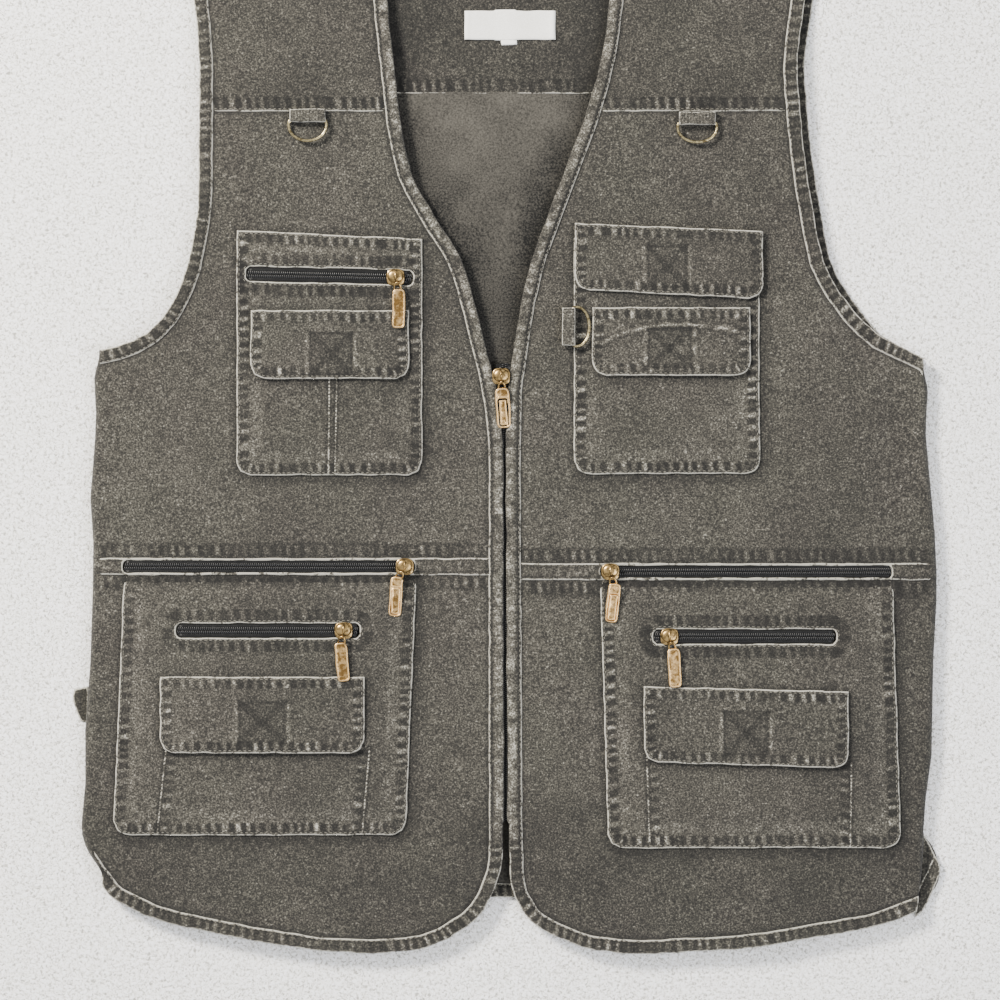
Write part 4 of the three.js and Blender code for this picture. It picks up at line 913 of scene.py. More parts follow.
def make_binding(node, mates, top_of, rise=BINDING_RISE):
    cloth = Cloth(node, others(node, mates), fine=1.2, reach=30)
    edges = cloth.edges
    outer = edges.free & ~edges.hole
    distance, _ = cloth.away(outer)
    inner, _ = cloth.away(edges.over)
    # The neck and the front edges are soft rolls; the armholes and hems are pressed flat and roped
    roll = np.zeros(len(cloth.x))
    if "neck" in node:
        roll += 1
    if "front_edge" in node:
        roll = ease((26 - np.abs(cloth.x)) / 8) * ease((cloth.y + 285) / 20)
    cloth.rope_band(outer, 0.9, 8.2, rise=0.36, dark=0.5, pale=0.95, length=6.8, share=1 - 0.72 * roll)
    blotch = mottle(cloth.x, cloth.y, 6, cloth.seed) + 0.6 * mottle(cloth.x, cloth.y, 2.6, cloth.seed + 1)
    # The crown of each roll is painted paler in blotches: partly wear, partly a painted highlight
    cloth.tone += roll * (0.4 * band(distance, 0.2, 6.2, 3) * (1 + 0.9 * blotch) - 0.08)
    cloth.lift += (0.35 + 0.5 * roll) * np.sin(np.clip(distance / 8, 0, 1) * math.pi)
    cloth.lift -= 0.5 * bell(inner - 1.0, 0.8) + 0.55 * ease(1 - inner / 0.7)
    # Painted shade in the valley where the binding meets the panel
    cloth.tone -= (0.3 + 0.25 * roll) * bell(inner - 1.6, 1.0)
    cloth.bright_edge(edges.over)
    cloth.line = np.minimum(cloth.line, np.maximum(distance, 0.3) + 0.25 + 3 * roll)
    cloth.finish(top_of(cloth.x, cloth.y) + rise, BINDING_THICK, TWILL,
                 folded_width=BINDING_WIDTH)
    STITCHED.append((edges, edges.over, 1.3, cloth))


PART_SHADE = {"front_yoke": 0.07, "front_panel": 0.0, "waistband": 0.0, "front_skirt": 0.12}


def make_front(side):
    mates = mates_of(side)
    for part in FRONT_PARTS:
        node = f"{part}_{side}"
        cloth = Cloth(node, others(node, mates))
        edges = cloth.edges
        hidden, _ = cloth.away(edges.under)
        cloth.lift -= 0.75 * ease(1 - hidden / 2.6)
        # Painted shade along the line where the piece slips under its neighbour's folded edge
        cloth.tone -= 0.28 * bell(hidden - 0.4, 1.3)
        cloth.tone -= PART_SHADE[part] * (ease(-(cloth.y + 215) / 60) if part == "front_skirt" else 1)
        if part == "front_yoke":
            cloth.rope_band(edges.over, 1.4, 9.5, pale=0.9, dark=0.55)
            cloth.groove(edges.over, 8.6)
            cloth.bright_edge(edges.over)
            STITCHED.append((edges, edges.over, 1.8, cloth))
        if part == "waistband":
            cloth.lift += 0.3
            cloth.bright_edge(edges.over | edges.hole)
            cloth.groove(edges.over, 1.9, depth=0.15)
            cloth.rope_band(edges.over, 2.2, 9, pale=0.4, dark=0.14, rise=0.14)
        if part in ("front_panel", "front_skirt"):
            cloth.rope_band(edges.meets("waistband"), 1.2, 8.5, pale=0.7, dark=0.5)
            cloth.groove(edges.meets("waistband"), 8.8, depth=0.14)
        for pocket in POCKETS:
            if pocket.endswith(side):
                # Painted shadow of each pocket on the front
                cloth.paint_cast_shadow(outline_of(pocket)[0])
        cloth.finish(front_height(cloth.x, cloth.y), CLOTH_THICK, TWILL)
    for part in ("neck_binding", "front_edge", "armhole_binding"):
        make_binding(f"{part}_{side}", mates, front_height)


DEPTH_STEP = 2
DEPTHS = {}


def depth_table(pocket):
    """How deep inside its outline each spot of a pocket lies, on a small grid."""
    if pocket not in DEPTHS:
        loop = outline_of(pocket)[0]
        low, high = loop.min(0) - 3 * DEPTH_STEP, loop.max(0) + 3 * DEPTH_STEP
        x, y = np.arange(low[0], high[0], DEPTH_STEP), np.arange(low[1], high[1], DEPTH_STEP)
        spots = np.stack(np.meshgrid(x, y), -1).reshape(-1, 2)
        depth = nearest(spots, loop, np.roll(loop, -1, 0))[0] * within(spots, [loop])
        DEPTHS[pocket] = low, depth.reshape(len(y), len(x))
    return DEPTHS[pocket]


def pocket_height(pocket, x, y):
    """Top of a pocket's cloth, which swells inside its sewn edge."""
    low, table = depth_table(pocket)
    depth = on_grid(table, low, DEPTH_STEP, x, y)
    return front_height(x, y) + POCKET_RISE + POCKET_PUFF * ease(depth / PUFF_REACH)


# Sewn lines on the pockets: both ends as shares of the pocket's box, and the side that puckers
POCKET_LINES = {
    "chest_pocket_left": [((0.5, 0.4), (0.495, 0.012), 1), ((0.54, 0.4), (0.53, 0.012), -1)],
    "lower_pocket_left": [((0.175, 0.34), (0.145, 0.01), 1), ((0.845, 0.34), (0.82, 0.005), -1)],
    "lower_pocket_right": [((0.155, 0.34), (0.165, 0.02), 1), ((0.835, 0.32), (0.832, 0.005), -1)],
}


def make_pocket(pocket):
    side = pocket.rsplit("_", 1)[1]
    mates = [f"waistband_{side}"]
    low, high = outline_of(pocket)[0].min(0), outline_of(pocket)[0].max(0)
    lines = POCKET_LINES.get(pocket, [])
    paths = [(low + (high - low) * a, low + (high - low) * b) for a, b, _ in lines]
    cloth = Cloth(pocket, mates, open_spacing=2.2, reach=12, lines=paths)
    edges = cloth.edges
    outer = edges.free & ~edges.hole
    cloth.groove(outer, 1.9)
    cloth.rope_band(outer, 2.2, 8.2, rise=0.4, dark=0.6, pale=1.2)
    for flap, carrier in FLAPS.items():
        if carrier == pocket:
            # Painted shadow of each flap on its pocket
            cloth.paint_cast_shadow(outline_of(flap)[0], depth=0.26, width=4, lean=(0.8, -1.4))
    distance, _ = cloth.away(outer)
    cloth.lift += 0.35 * band(distance, 1.0, 8.5, 1.6)
    cloth.tone += 0.11 * band(distance, 9, 17, 4) * (1 + mottle(cloth.x, cloth.y, 9, 12))
    if edges.hole.any():
        cloth.groove(edges.hole, 1.9, depth=0.15)
        cloth.rope_band(edges.hole, 2.2, 9.5, rise=0.26, dark=0.58, pale=0.72)
    cloth.bright_edge(outer | edges.hole)
    top, _ = cloth.away(edges.under)
    cloth.rope_band(edges.under, 1.0, 7.5, rise=0.18, dark=0.34, pale=0.6)
    for path, (_, _, hand) in zip(paths, lines):
        cloth.seam(path)
        if "lower" in pocket:
            cloth.seam_rope(path, 1.6, 7.5, side=hand)
    settle = (POCKET_RISE + 0.9) * ease(1 - top / 14)
    height = pocket_height(pocket, cloth.x, cloth.y) - settle
    floor = lambda x, y: front_height(x, y) - 0.3
    cloth.finish(height, CLOTH_THICK, TWILL, floor=floor)
    STITCHED.append((edges, outer, 1.9, cloth))
    STITCHED.append((edges, edges.hole, 1.9, cloth))


# Box stitched on each flap: middle and size as shares of the flap's box
FLAP_BOX = {
    "chest_flap_left": (0.51, 0.36, 0.26, 0.6),
    "chest_flap_right_upper": (0.49, 0.42, 0.205, 0.55),
    "chest_flap_right_lower": (0.49, 0.4, 0.265, 0.56),
    "lower_flap_left": (0.5, 0.4, 0.22, 0.52),
    "lower_flap_right": (0.5, 0.42, 0.21, 0.52),
}


# A worn crease that arches over the lower of the two right chest flaps
FLAP_CREASES = {
    "chest_flap_right_lower": [
        (65.3, 67.1), (72, 71.5), (82, 75.5), (94, 78.6),
        (109.4, 80.9), (126.7, 80.9), (142, 79.5), (164.6, 75.4),
    ],
}


def make_flap(flap, pocket):
    across, up, wide, tall = FLAP_BOX[flap]
    low, high = outline_of(flap)[0].min(0), outline_of(flap)[0].max(0)
    at = lambda u, v: low + (high - low) * [u, v]
    west, east, south, north = across - wide / 2, across + wide / 2, up - tall / 2, up + tall / 2
    box = [at(west, south), at(west, north), at(east, north), at(east, south), at(west, south)]
    cloth = Cloth(flap, [], open_spacing=1.9, reach=12, lines=[box])
    edges = cloth.edges
    outer = edges.free
    cloth.groove(outer, 1.9)
    cloth.rope_band(outer, 2.1, 7.9, rise=0.4, dark=0.58, pale=1.2)
    cloth.bright_edge(outer)
    distance, _ = cloth.away(outer)
    cloth.lift += 0.3 * band(distance, 1.0, 8.2, 1.6)
    inside = within(cloth.points, [np.array(box[:-1])])
    cloth.tone -= 0.08 * inside * ease((distance - 2) / 4)
    beside = nearest(cloth.points, np.array(box[:-1]), np.array(box[1:]))[0]
    flank = ~inside * (cloth.y > box[0][1]) * (cloth.y < box[1][1]) * ease((distance - 5) / 4)
    cloth.tone += 0.34 * bell(beside - 2.4, 1.3) * flank * (1 + 0.6 * mottle(cloth.x, cloth.y, 5, 13))
    cloth.lift += 0.2 * bell(beside - 2, 1.6) * ~inside
    cloth.lift -= 0.3 * bell(beside, 0.7)
    # Painted shade in the sunken box stitching
    cloth.tone -= 0.34 * bell(beside, 0.9)
    if flap in FLAP_CREASES:
        away = cloth.seam(FLAP_CREASES[flap], depth=-0.5, pale=False, shade=0.0, width=1.6)
        cloth.tone += 0.6 * bell(away, 0.9) * (1 + 0.5 * mottle(cloth.x, cloth.y, 6, 14))
        cloth.tone -= 0.2 * bell(away - 2.4, 1.2)
    for start, end in ((box[0], box[2]), (box[1], box[3])):
        cloth.seam([start, end], depth=0.2, pale=False, shade=0.3, width=0.7)
    top_edge = np.clip((high[1] - cloth.y) / 3, 0, 1)
    height = pocket_height(pocket, cloth.x, cloth.y) + FLAP_RISE * (0.45 + 0.55 * top_edge)
    sag = 0.5 * mottle(cloth.x, cloth.y, 34, cloth.seed)
    lower_edge = ease(1 - (cloth.y - low[1]) / 12)
    height = height + lower_edge * (0.5 + sag)
    floor = lambda x, y: pocket_height(pocket, x, y) + 0.15 + 0.5 * ease(1 - (y - low[1]) / 8)
    cloth.finish(height, FLAP_THICK, TWILL, floor=floor)
    STITCHED.append((edges, outer, 1.9, cloth))


def make_side(side):
    """Cloth turned round the side of the vest, a little inside the fronts' own turned edge."""
    ups, outs = SIDE_LINES[side]
    rows = np.arange(ups[0], ups[-1] + 0.1, 4)
    points, faces, steps = [], [], 12
    radii = (SIDE_ROUND - 0.45, SIDE_ROUND - 1.6)
    for y in rows:
        ends = ease((y - ups[0]) / SIDE_TAPER) * ease((ups[-1] - y) / SIDE_TAPER)
        out = np.interp(y, ups, outs) - (SIDE_ROUND - 0.8) * (1 - ends)
        for radius, order in ((radii[0], range(steps + 1)), (radii[1], range(steps, -1, -1))):
            for k in order:
                angle = math.pi * k / steps
                x = out - SIDE_ROUND + radius * math.sin(angle)
                points.append((SIGN[side] * x, y, SIDE_ROUND + radius * math.cos(angle)))
    count = 2 * (steps + 1)
    for r in range(len(rows) - 1):
        for k in range(count):
            a, b = r * count + k, r * count + (k + 1) % count
            quad = (a, b, b + count, a + count)
            faces.append(quad if side == "left" else quad[::-1])
    for base, turn in ((0, 1), ((len(rows) - 1) * count, -1)):
        for k in range(steps):
            quad = (base + k, base + k + 1, base + count - 2 - k, base + count - 1 - k)
            faces.append(quad[::turn] if side == "left" else quad[:: -turn])
    piece = add_mesh(f"side_fold_{side}_cloth", points, faces, TWILL, [f"side_fold_{side}"],
                     values={"tone": np.full(len(points), -0.1), "line_mm": np.full(len(points), 20.0)})
    length, around = ups[-1] - ups[0], math.pi * SIDE_ROUND
    declare_sheet(length * around, (around, length))


def level(value):
    return lambda x, y: np.full(len(x), float(value))


def neck_shadow_weight(cloth, width):
    """1 right beside the fronts' neck edges, falling to 0: where the raised fronts cast painted shade on the
    cloth below.
    """
    loops = [outline_of(f"neck_binding_{side}")[0] for side in SIDES]
    return bell(nearest(cloth.points, np.concatenate(loops), ends_of(loops))[0], width)


def make_back():
    names = ["back_panel", "back_hem", "back_neck_binding", "back_armhole_binding_left",
             "back_armhole_binding_right"]
    panel = Cloth("back_panel", names[1:], fine=4, open_spacing=8, reach=6)
    hidden, _ = panel.away(panel.edges.under)
    panel.lift -= 0.3 * ease(1 - hidden / 3)
    panel.finish(level(1.5)(panel.x, panel.y), 1.4, TWILL)
    for node in names[1:]:
        make_binding(node, others(node, names), level(BINDING_THICK - BINDING_RISE))

    inner = ["back_lining", "back_yoke_facing"]
    lining = Cloth("back_lining", inner[1:], fine=2.2, open_spacing=5, reach=8)
    x, y = lining.x, lining.y
    off_crease = x + 20 - 0.55 * (230 - y) * (y < 245) + 8 * np.sin(y / 30)
    crease = 1.1 * bell(off_crease, 9) * ease((245 - y) / 20)
    lining.lift += 1.1 * crease * ease((y - 60) / 40) + 0.5 * mottle(x, y, 48, 21)
    # Painted shade along both sides of the V, under the raised fronts
    lining.tone -= 0.17 * neck_shadow_weight(lining, 17)
    meet, _ = lining.away(lining.edges.under)
    lining.lift -= 0.6 * ease(1 - meet / 3)
    lining.finish(level(2.75)(x, y), 0.9, LINING)

    facing = Cloth("back_yoke_facing", inner[:1], fine=1.6, open_spacing=3.4, reach=12)
    facing.rope_band(facing.edges.over, 1.4, 9.5, pale=0.85, dark=0.5)
    facing.groove(facing.edges.over, 8.8)
    facing.bright_edge(facing.edges.over)
    # Painted shade beside the neck edges, on a facing that is darker overall
    facing.tone -= 0.2 + 0.25 * neck_shadow_weight(facing, 14)
    facing.lift += 0.3 * mottle(facing.x, facing.y, 44, 22)
    facing.finish(level(2.9)(facing.x, facing.y), 1.0, TWILL)


# Sewing thread
STITCH = 2.4
STITCH_GAP = 1.0
THREAD_WIDE = 0.42


def needle_line(edges, chosen, inset):
    """Places and directions of stitches that follow chosen edges at an inset."""
    result = []
    index = np.flatnonzero(chosen)
    if not len(index):
        return result
    travelled = np.concatenate([[0], np.cumsum(edges.length[index])])
    pitch = STITCH + STITCH_GAP
    for at in np.arange(pitch / 2, travelled[-1], pitch):
        k = min(int(np.searchsorted(travelled, at, "right")) - 1, len(index) - 1)
        i = index[k]
        share = (at - travelled[k]) / edges.length[i]
        along = edges.ends[i] - edges.starts[i]
        point = edges.starts[i] + along * share - edges.outward[i] * inset
        result.append((point, along / edges.length[i]))
    return result


def make_stitches():
    points, faces = [], []
    for edges, chosen, inset, cloth in STITCHED:
        places = needle_line(edges, chosen, inset)
        if not places:
            continue
        spots = np.array([p for p, _ in places])
        tree = BVHTree.FromPolygons(
            [Vector((x, y, z)) for (x, y), z in zip(cloth.points, cloth.height)],
            [list(map(int, f)) for f in cloth.faces])
        for (point, along) in places:
            hit = tree.ray_cast(Vector((*point, 60)), Vector((0, 0, -1)))[0]
            if hit is None:
                continue
            across = np.array([-along[1], along[0]]) * THREAD_WIDE / 2
            ahead = along * STITCH / 2
            first = len(points)
            z = hit.z + 0.06
            points += [
                (*(point - ahead), z - 0.2), (*(point - 0.6 * ahead + across), z),
                (*(point - 0.6 * ahead - across), z), (*(point + 0.6 * ahead + across), z),
                (*(point + 0.6 * ahead - across), z), (*(point + ahead), z - 0.2),
                (*(point - 0.5 * ahead), z + 0.2), (*(point + 0.5 * ahead), z + 0.2),
            ]
            faces += [tuple(first + i for i in f) for f in (
                (0, 6, 1), (0, 2, 6), (1, 6, 7, 3), (2, 4, 7, 6), (3, 7, 5), (4, 5, 7),
                (0, 1, 2), (1, 3, 4, 2), (3, 5, 4))]
    add_mesh("topstitching", points, faces, THREAD)


# Zips
TOOTH_PITCH = 1.35
TAPE_TUCK = 3.4


def make_zip(node, surface):
    loop = outline_of(node)[0]
    low, high = loop.min(0), loop.max(0)
    upright = high[1] - low[1] > high[0] - low[0]
    long = (high - low)[1 if upright else 0]
    middle = (low + high) / 2
    wide = (high - low)[0 if upright else 1]
    slope = 0.0
    if not upright:
        left_end = loop[loop[:, 0] < low[0] + 1][:, 1].mean()
        right_end = loop[loop[:, 0] > high[0] - 1][:, 1].mean()
        slope = (right_end - left_end) / long
        wide -= abs(right_end - left_end)
    wide += TAPE_TUCK

    def put(along, across, drop):
        """Points at a place along the zip and across it, below the cloth round it."""
        along, across, drop = np.broadcast_arrays(along, across, drop)
        if upright:
            x, y = middle[0] + across, middle[1] + along
        else:
            x, y = middle[0] + along, middle[1] + across + slope * along
        return np.stack([x, y, surface(x, y) - drop], -1)

    rows = np.arange(-long / 2, long / 2 + 0.1, 4.0)
    share = np.array([-0.5, -0.3, 0.0, 0.3, 0.5])
    sink = np.array([1.28, 1.1, 1.07, 1.1, 1.28])
    points = put(rows[:, None], share * wide, sink).reshape(-1, 3)
    faces = []
    for r in range(len(rows) - 1):
        for k in range(4):
            a = 5 * r + k
            quad = (a, a + 1, a + 6, a + 5)
            faces.append(quad if upright else quad[::-1])
    tape = add_mesh(f"{node}_tape", points, faces, TAPE, [node])
    declare_sheet(long * wide, (wide, long))

    rings = np.array([(0.15, 0.5), (0.7, 0.32), (1.9, 0.32), (2.5, 0.75)])
    points, faces = [], []
    for hand in (-1, 1):
        along = np.arange(-long / 2 + 0.7, long / 2 - 0.6, TOOTH_PITCH) + (hand > 0) * TOOTH_PITCH / 2
        bar = []
        for across, drop in rings:
            for shift, down in ((-0.46, 0.5), (0, 0), (0.46, 0.5)):
                bar.append(put(along + shift, hand * across, drop + down))
        bar = np.stack(bar, 1)
        for tooth in bar:
            first = len(points)
            points += [tuple(p) for p in tooth]
            for e in range(3):
                a = first + 3 * e
                faces += [(a, a + 1, a + 4, a + 3), (a + 1, a + 2, a + 5, a + 4)]
            faces += [(first, first + 2, first + 1), (first + 9, first + 10, first + 11)]
        for offset in (2.75, 3.4):
            wire_points, wire_faces = tube(put(rows, hand * offset, 0.95), 0.27, 6)
            first = len(points)
            points += [tuple(p) for p in wire_points]
            faces += [tuple(first + i for i in f) for f in wire_faces]
    add_mesh(f"{node}_coil", points, faces, COIL)


def tube(path, radius, sides, closed=False):
    """A round wire along a path."""
    path = np.array(path, float)
    count = len(path)
    if closed:
        along = np.roll(path, -1, 0) - np.roll(path, 1, 0)
    else:
        along = np.gradient(path, axis=0)
    along /= np.linalg.norm(along, axis=1)[:, None]
    up = np.cross(path - path.mean(0), along) if closed else np.tile([0.0, 0.0, 1.0], (count, 1))
    up /= np.maximum(np.linalg.norm(up, axis=1), 1e-9)[:, None]
    side = np.cross(along, up)
    side /= np.linalg.norm(side, axis=1)[:, None]
    up = np.cross(side, along)
    points, faces = [], []
    for k in range(count):
        for s in range(sides):
            angle = 2 * math.pi * s / sides
            points.append(path[k] + radius * (math.cos(angle) * up[k] + math.sin(angle) * side[k]))
    for k in range(count if closed else count - 1):
        for s in range(sides):
            a, b = k * sides + s, k * sides + (s + 1) % sides
            c, d = (k + 1) % count * sides + (s + 1) % sides, (k + 1) % count * sides + s
            faces.append((a, b, c, d))
    if not closed:
        faces.append(tuple(range(sides))[::-1])
        faces.append(tuple((count - 1) * sides + s for s in range(sides)))
    return points, faces


# Brass hardware: turn of each slider's loop in degrees, slider's width and length, width of a pull's
# rim, the loop's long and short reach and its wire, pitch of the ribs on a ring's tab
LOOP_TURNS = {"chest": {"left": 11}, "welt": {"left": -10, "right": 14},
              "waist": {"left": -28, "right": 14}}
SLIDER = (12.4, 11.6)
PULL_RIM = 1.1
LOOP = (3.9, 1.9, 0.65)
TAB_RIB = 2.1
RING_FULLER = 0.3
# Height in mm and share of the full size, from the foot up
SLIDER_BODY = ((0.0, 0.9), (0.25, 1.0), (0.9, 1.0), (1.25, 0.94), (1.45, 0.84))
SLIDER_DOME = ((1.2, 1.0), (1.8, 0.985), (2.4, 0.93), (2.9, 0.83), (3.3, 0.66), (3.55, 0.42), (3.62, 0.15))
DOME = (11.2, 9.2)


def shell(rings):
    """A closed skin over rings of equal count, with a face over each end."""
    count = len(rings[0])
    points = [tuple(p) for ring in rings for p in ring]
    faces = []
    for r in range(len(rings) - 1):
        for k in range(count):
            a, b = r * count + k, r * count + (k + 1) % count
            faces.append((a, b, b + count, a + count))
    faces.append(tuple(range(count))[::-1])
    faces.append(tuple((len(rings) - 1) * count + k for k in range(count)))
    return points, faces


def rounded_ring(cx, cy, z, wide, long, power, count=36):
    ring = []
    for k in range(count):
        angle = 2 * math.pi * k / count
        c, s = math.cos(angle), math.sin(angle)
        ring.append((cx + wide / 2 * math.copysign(abs(c) ** power, c),
                     cy + long / 2 * math.copysign(abs(s) ** power, s), z))
    return ring


def make_slider(node, turn):
    low, high = (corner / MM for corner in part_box(node))
    cx = (low.x + high.x) / 2
    cy = high.y - SLIDER[1] / 2
    base = high.z - LOOP[1] * 2 - LOOP[2] * 1.9 - 0.3
    parts = []
    parts.append(shell([rounded_ring(cx, cy, base + z, SLIDER[0] * s, SLIDER[1] * s, 0.62)
                        for z, s in SLIDER_BODY]))
    parts.append(shell([rounded_ring(cx, cy + 0.7, base + z, DOME[0] * s, DOME[1] * s, 0.92, 40)
                        for z, s in SLIDER_DOME]))
    bridge = [(cx, cy + 4.6 - 7.6 * t, base + 1.9 + 2.1 * math.sin(math.pi * t))
              for t in np.linspace(0, 1, 13)]
    parts.append(tube(bridge, 0.8, 10))
    turn = math.radians(turn)
    loop = []
    for k in range(32):
        angle = 2 * math.pi * k / 32
        y = -SLIDER[1] / 2 - 2.2 + LOOP[0] * math.cos(angle)
        x = 2.3 * math.sin(angle)
        z = base + 2.7 + 1.75 * math.cos(angle) + 0.5 * math.sin(angle)
        loop.append((cx + x * math.cos(turn) - y * math.sin(turn),
                     cy + y * math.cos(turn) + x * math.sin(turn), z))
    parts.append(tube(loop, LOOP[2], 8, closed=True))
    foot = [(low.z - base + 0.02, 0.36), (0.1, 0.4)]
    parts.append(shell([rounded_ring(cx, cy, base + z, SLIDER[0] * s, SLIDER[1] * 0.66, 0.5, 20)
                        for z, s in foot]))
    points, faces = [], []
    for part_points, part_faces in parts:
        first = len(points)
        points += [tuple(p) for p in part_points]
        faces += [tuple(first + i for i in f) for f in part_faces]
    add_mesh(f"{node}_brass", points, faces, AGED_BRASS, [node])


def make_ring(node):
    """A bent wire ring: the modelled one, rounded and a little fuller."""
    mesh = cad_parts[node].data.copy()
    work = bmesh.new()
    work.from_mesh(mesh)
    bmesh.ops.remove_doubles(work, verts=work.verts, dist=0.01 * MM)
    bmesh.ops.dissolve_limit(work, angle_limit=0.02, verts=work.verts, edges=work.edges)
    work.to_mesh(mesh)
    work.free()
    mesh.materials.clear()
    mesh.materials.append(RING_BRASS)
    mesh.polygons.foreach_set("use_smooth", [True] * len(mesh.polygons))
    ring = put_in_scene(f"{node}_fine", mesh)
    rounded = ring.modifiers.new("round", "SUBSURF")
    rounded.levels = 2
    rounded.render_levels = 2
    fuller = ring.modifiers.new("fuller", "DISPLACE")
    fuller.strength = RING_FULLER * MM
    fuller.mid_level = 0
    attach(ring, "root")
    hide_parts(node)


def make_pull(node):
    """A stamped plate: a rounded rim round a sunk, slightly hammered field."""
    plate = Cloth(node, [], fine=0.42, reach=30)
    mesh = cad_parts[node].data
    mesh.calc_loop_triangles()
    face = max(mesh.loop_triangles, key=lambda t: t.area * (t.normal.z > 0.5))
    nx, ny, nz = face.normal
    cx, cy, cz = face.center / MM
    top = cz - ((plate.x - cx) * nx + (plate.y - cy) * ny) / nz
    distance, _ = plate.away(plate.edges.free)
    rim = 1 - ease((distance - PULL_RIM) / 0.5)
    plate.lift = 0.12 * rim - 0.28 * (1 - rim) + 0.07 * mottle(plate.x, plate.y, 0.9, 61)
    plate.lift -= 0.45 * (1 - np.clip(distance / 0.5, 0, 1)) ** 2
    plate.tone = 0.2 * rim - 0.05 * (1 - rim) - 0.16 * bell(distance - PULL_RIM - 0.3, 0.35)
    plate.finish(top, 1.3, PULL_BRASS, soft=False)


def make_hardware():
    for kind, turns in LOOP_TURNS.items():
        for side, turn in turns.items():
            make_slider(f"{kind}_slider_{side}", turn)
            make_pull(f"{kind}_pull_{side}")
    make_slider("front_slider", 3)
    make_pull("front_pull")
    for node in ("yoke_ring_left", "yoke_ring_right", "side_ring"):
        make_ring(node)


# Ring tabs, labels and the strap end
def make_tab(node):
    low, high = (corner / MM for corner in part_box(node))
    west, east, south, north = low.x, high.x, low.y, high.y
    OUTLINES[node] = [np.array([(west, south), (east, south), (east, north), (west, north)])]
    tab = Cloth(node, [], fine=0.9, reach=30)
    along = tab.x if high.x - low.x > high.y - low.y else tab.y
    ribs = 0.5 + 0.5 * np.cos(2 * math.pi * along / TAB_RIB)
    tab.tone += 0.34 * ribs - 0.05 + 0.12 * mottle(tab.x, tab.y, 4, 41)
    tab.lift += 0.14 * ribs
    ends, _ = tab.away(tab.edges.free)
    tab.lift -= 0.5 * (1 - np.clip(ends / 1.3, 0, 1)) ** 2
    tab.line = ends + 0.5
    tab.finish(level(high.z - 0.15)(tab.x, tab.y), high.z - low.z - 0.4, TWILL,
               folded_width=min(high.x - low.x, high.y - low.y), layers=2)


# Lower right corner of the back, whose hem turns out past the front: outline and inner line of the hem
CORNER = [(288.6, -271), (292.3, -276.5), (297.0, -286.2), (299.6, -291), (300.0, -297.4),
          (294.9, -311.2), (288.0, -324.2), (282.6, -329.0), (281.8, -300), (282.4, -285)]
CORNER_HEM = [(296.4, -286.4), (291.5, -297.5), (285.6, -308.9), (283.2, -318)]


def make_corner():
    OUTLINES["back_corner"] = [np.array(CORNER[::-1])]
    corner = Cloth("back_corner", [], fine=1.0, reach=30, lines=[CORNER_HEM])
    corner.bright_edge(corner.edges.free)
    corner.seam(CORNER_HEM, depth=0.4)
    corner.seam_rope(CORNER_HEM, 1.4, 7.5, side=-1, pale=0.5, dark=0.25)
    corner.tone += 0.06
    corner.finish(level(4.1)(corner.x, corner.y), 0.9, TWILL)


def make_trim():
    make_corner()
    for node in ("yoke_ring_left_tab", "yoke_ring_right_tab", "side_ring_tab"):
        make_tab(node)
    tab = Cloth("side_tab", [], fine=1.2, reach=30)
    tab.bright_edge(tab.edges.free)
    tab.tone -= 0.15
    tab.finish(level(1.2)(tab.x, tab.y), 1.15, TWILL)
    label = Cloth("label", [], fine=1.2, open_spacing=1.6)
    ends = np.minimum(label.x - label.x.min(), label.x.max() - label.x)
    label.lift += 0.35 * mottle(label.x, label.y, 14, 51) + 0.25 * np.sin(label.x / 5.2) * ease(ends / 5)
    label.lift += 0.5 * bell(ends - 2.2, 1.2)
    label.finish(level(3.9)(label.x, label.y), 0.5, LABEL)
    small = Cloth("size_tab", [], fine=0.9, reach=30)
    small.finish(level(3.7)(small.x, small.y), 0.5, LABEL)


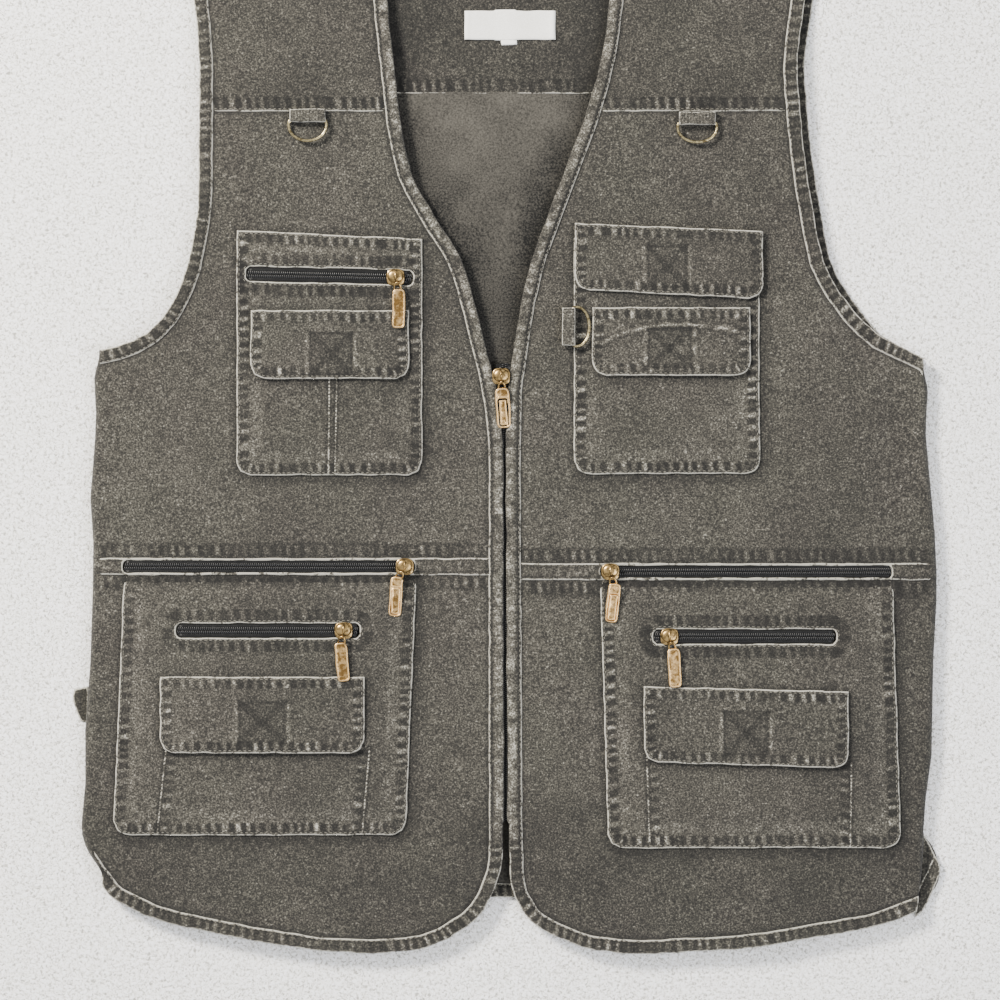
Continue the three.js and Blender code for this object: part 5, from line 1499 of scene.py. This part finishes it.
# Floor, light and camera
def felt():
    """Pale wool felt: matted fibres give a soft speckle and faint clouds."""
    material, tree, shader, place = new_material("pale_felt")
    fibres = add(tree, "ShaderNodeTexNoise",
                 {"Vector": place, "Scale": size_scale(FELT_FIBRE), "Detail": 2.0, "Roughness": 0.72,
                  "Distortion": 0.8})
    colour = stops(add(tree, "ShaderNodeValToRGB", {"Fac": fibres.outputs["Fac"]}),
                   (0.34, "a09e97"), (0.48, "efede7"), (0.58, "ffffff"))
    tree.links.new(colour, shader.inputs["Base Color"])
    bump = add(tree, "ShaderNodeBump",
               {"Strength": 0.8, "Distance": 1.0 * MM, "Height": fibres.outputs["Fac"]})
    tree.links.new(bump.outputs["Normal"], shader.inputs["Normal"])
    shader.inputs["Roughness"].default_value = 0.95
    shader.inputs["Specular IOR Level"].default_value = 0.15
    return material


def make_stage():
    half = FLOOR_SIZE / 2
    corners = [(-half, -half, 0), (half, -half, 0), (half, half, 0), (-half, half, 0)]
    mesh = bpy.data.meshes.new("floor")
    mesh.from_pydata([[c * MM for c in corner] for corner in corners], [], [(0, 1, 2, 3)])
    mesh.materials.append(felt())
    put_in_scene("floor", mesh)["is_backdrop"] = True

    world = bpy.data.worlds.new("studio")
    world.use_nodes = True
    bpy.context.scene.world = world
    sky = world.node_tree.nodes["Background"]
    sky.inputs["Color"].default_value = linear("f4f5f7")
    sky.inputs["Strength"].default_value = 1.12

    for name, place, size, power, code in (
        ("key", (-1700, 1500, 1700), 600, 225, "fff9f0"),
        ("fill", (1500, -900, 2100), 1800, 62, "f4f6ff"),
    ):
        light = bpy.data.lights.new(name, "AREA")
        light.size = size * MM
        light.energy = power
        light.color = linear(code)[:3]
        lamp = put_in_scene(name, light)
        lamp.location = Vector(place) * MM
        lamp.rotation_euler = (-Vector(place)).to_track_quat("-Z", "Y").to_euler()

    camera = bpy.data.cameras.new("camera")
    camera.sensor_width = SENSOR
    camera.lens = SENSOR * (CAMERA_HEIGHT - FRONT_LEVEL) / VIEW_SIZE
    holder = put_in_scene("camera", camera)
    holder.location = (VIEW_MIDDLE[0] * MM, VIEW_MIDDLE[1] * MM, CAMERA_HEIGHT * MM)
    bpy.context.scene.camera = holder


make_stage()
make_back()
for side in SIDES:
    make_side(side)
    make_front(side)
for pocket in POCKETS:
    make_pocket(pocket)
for flap, pocket in FLAPS.items():
    make_flap(flap, pocket)
for zip_node, carrier in ZIPS.items():
    on_pocket = carrier in POCKETS
    make_zip(zip_node, (lambda x, y, c=carrier: pocket_height(c, x, y)) if on_pocket else front_height)
make_zip("front_zip", lambda x, y: front_height(x, y) - 1.2)
make_hardware()
make_trim()
make_stitches()

boxes = {"cad": [list(corner) for corner in cad_box], "visual": [list(corner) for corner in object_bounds()]}
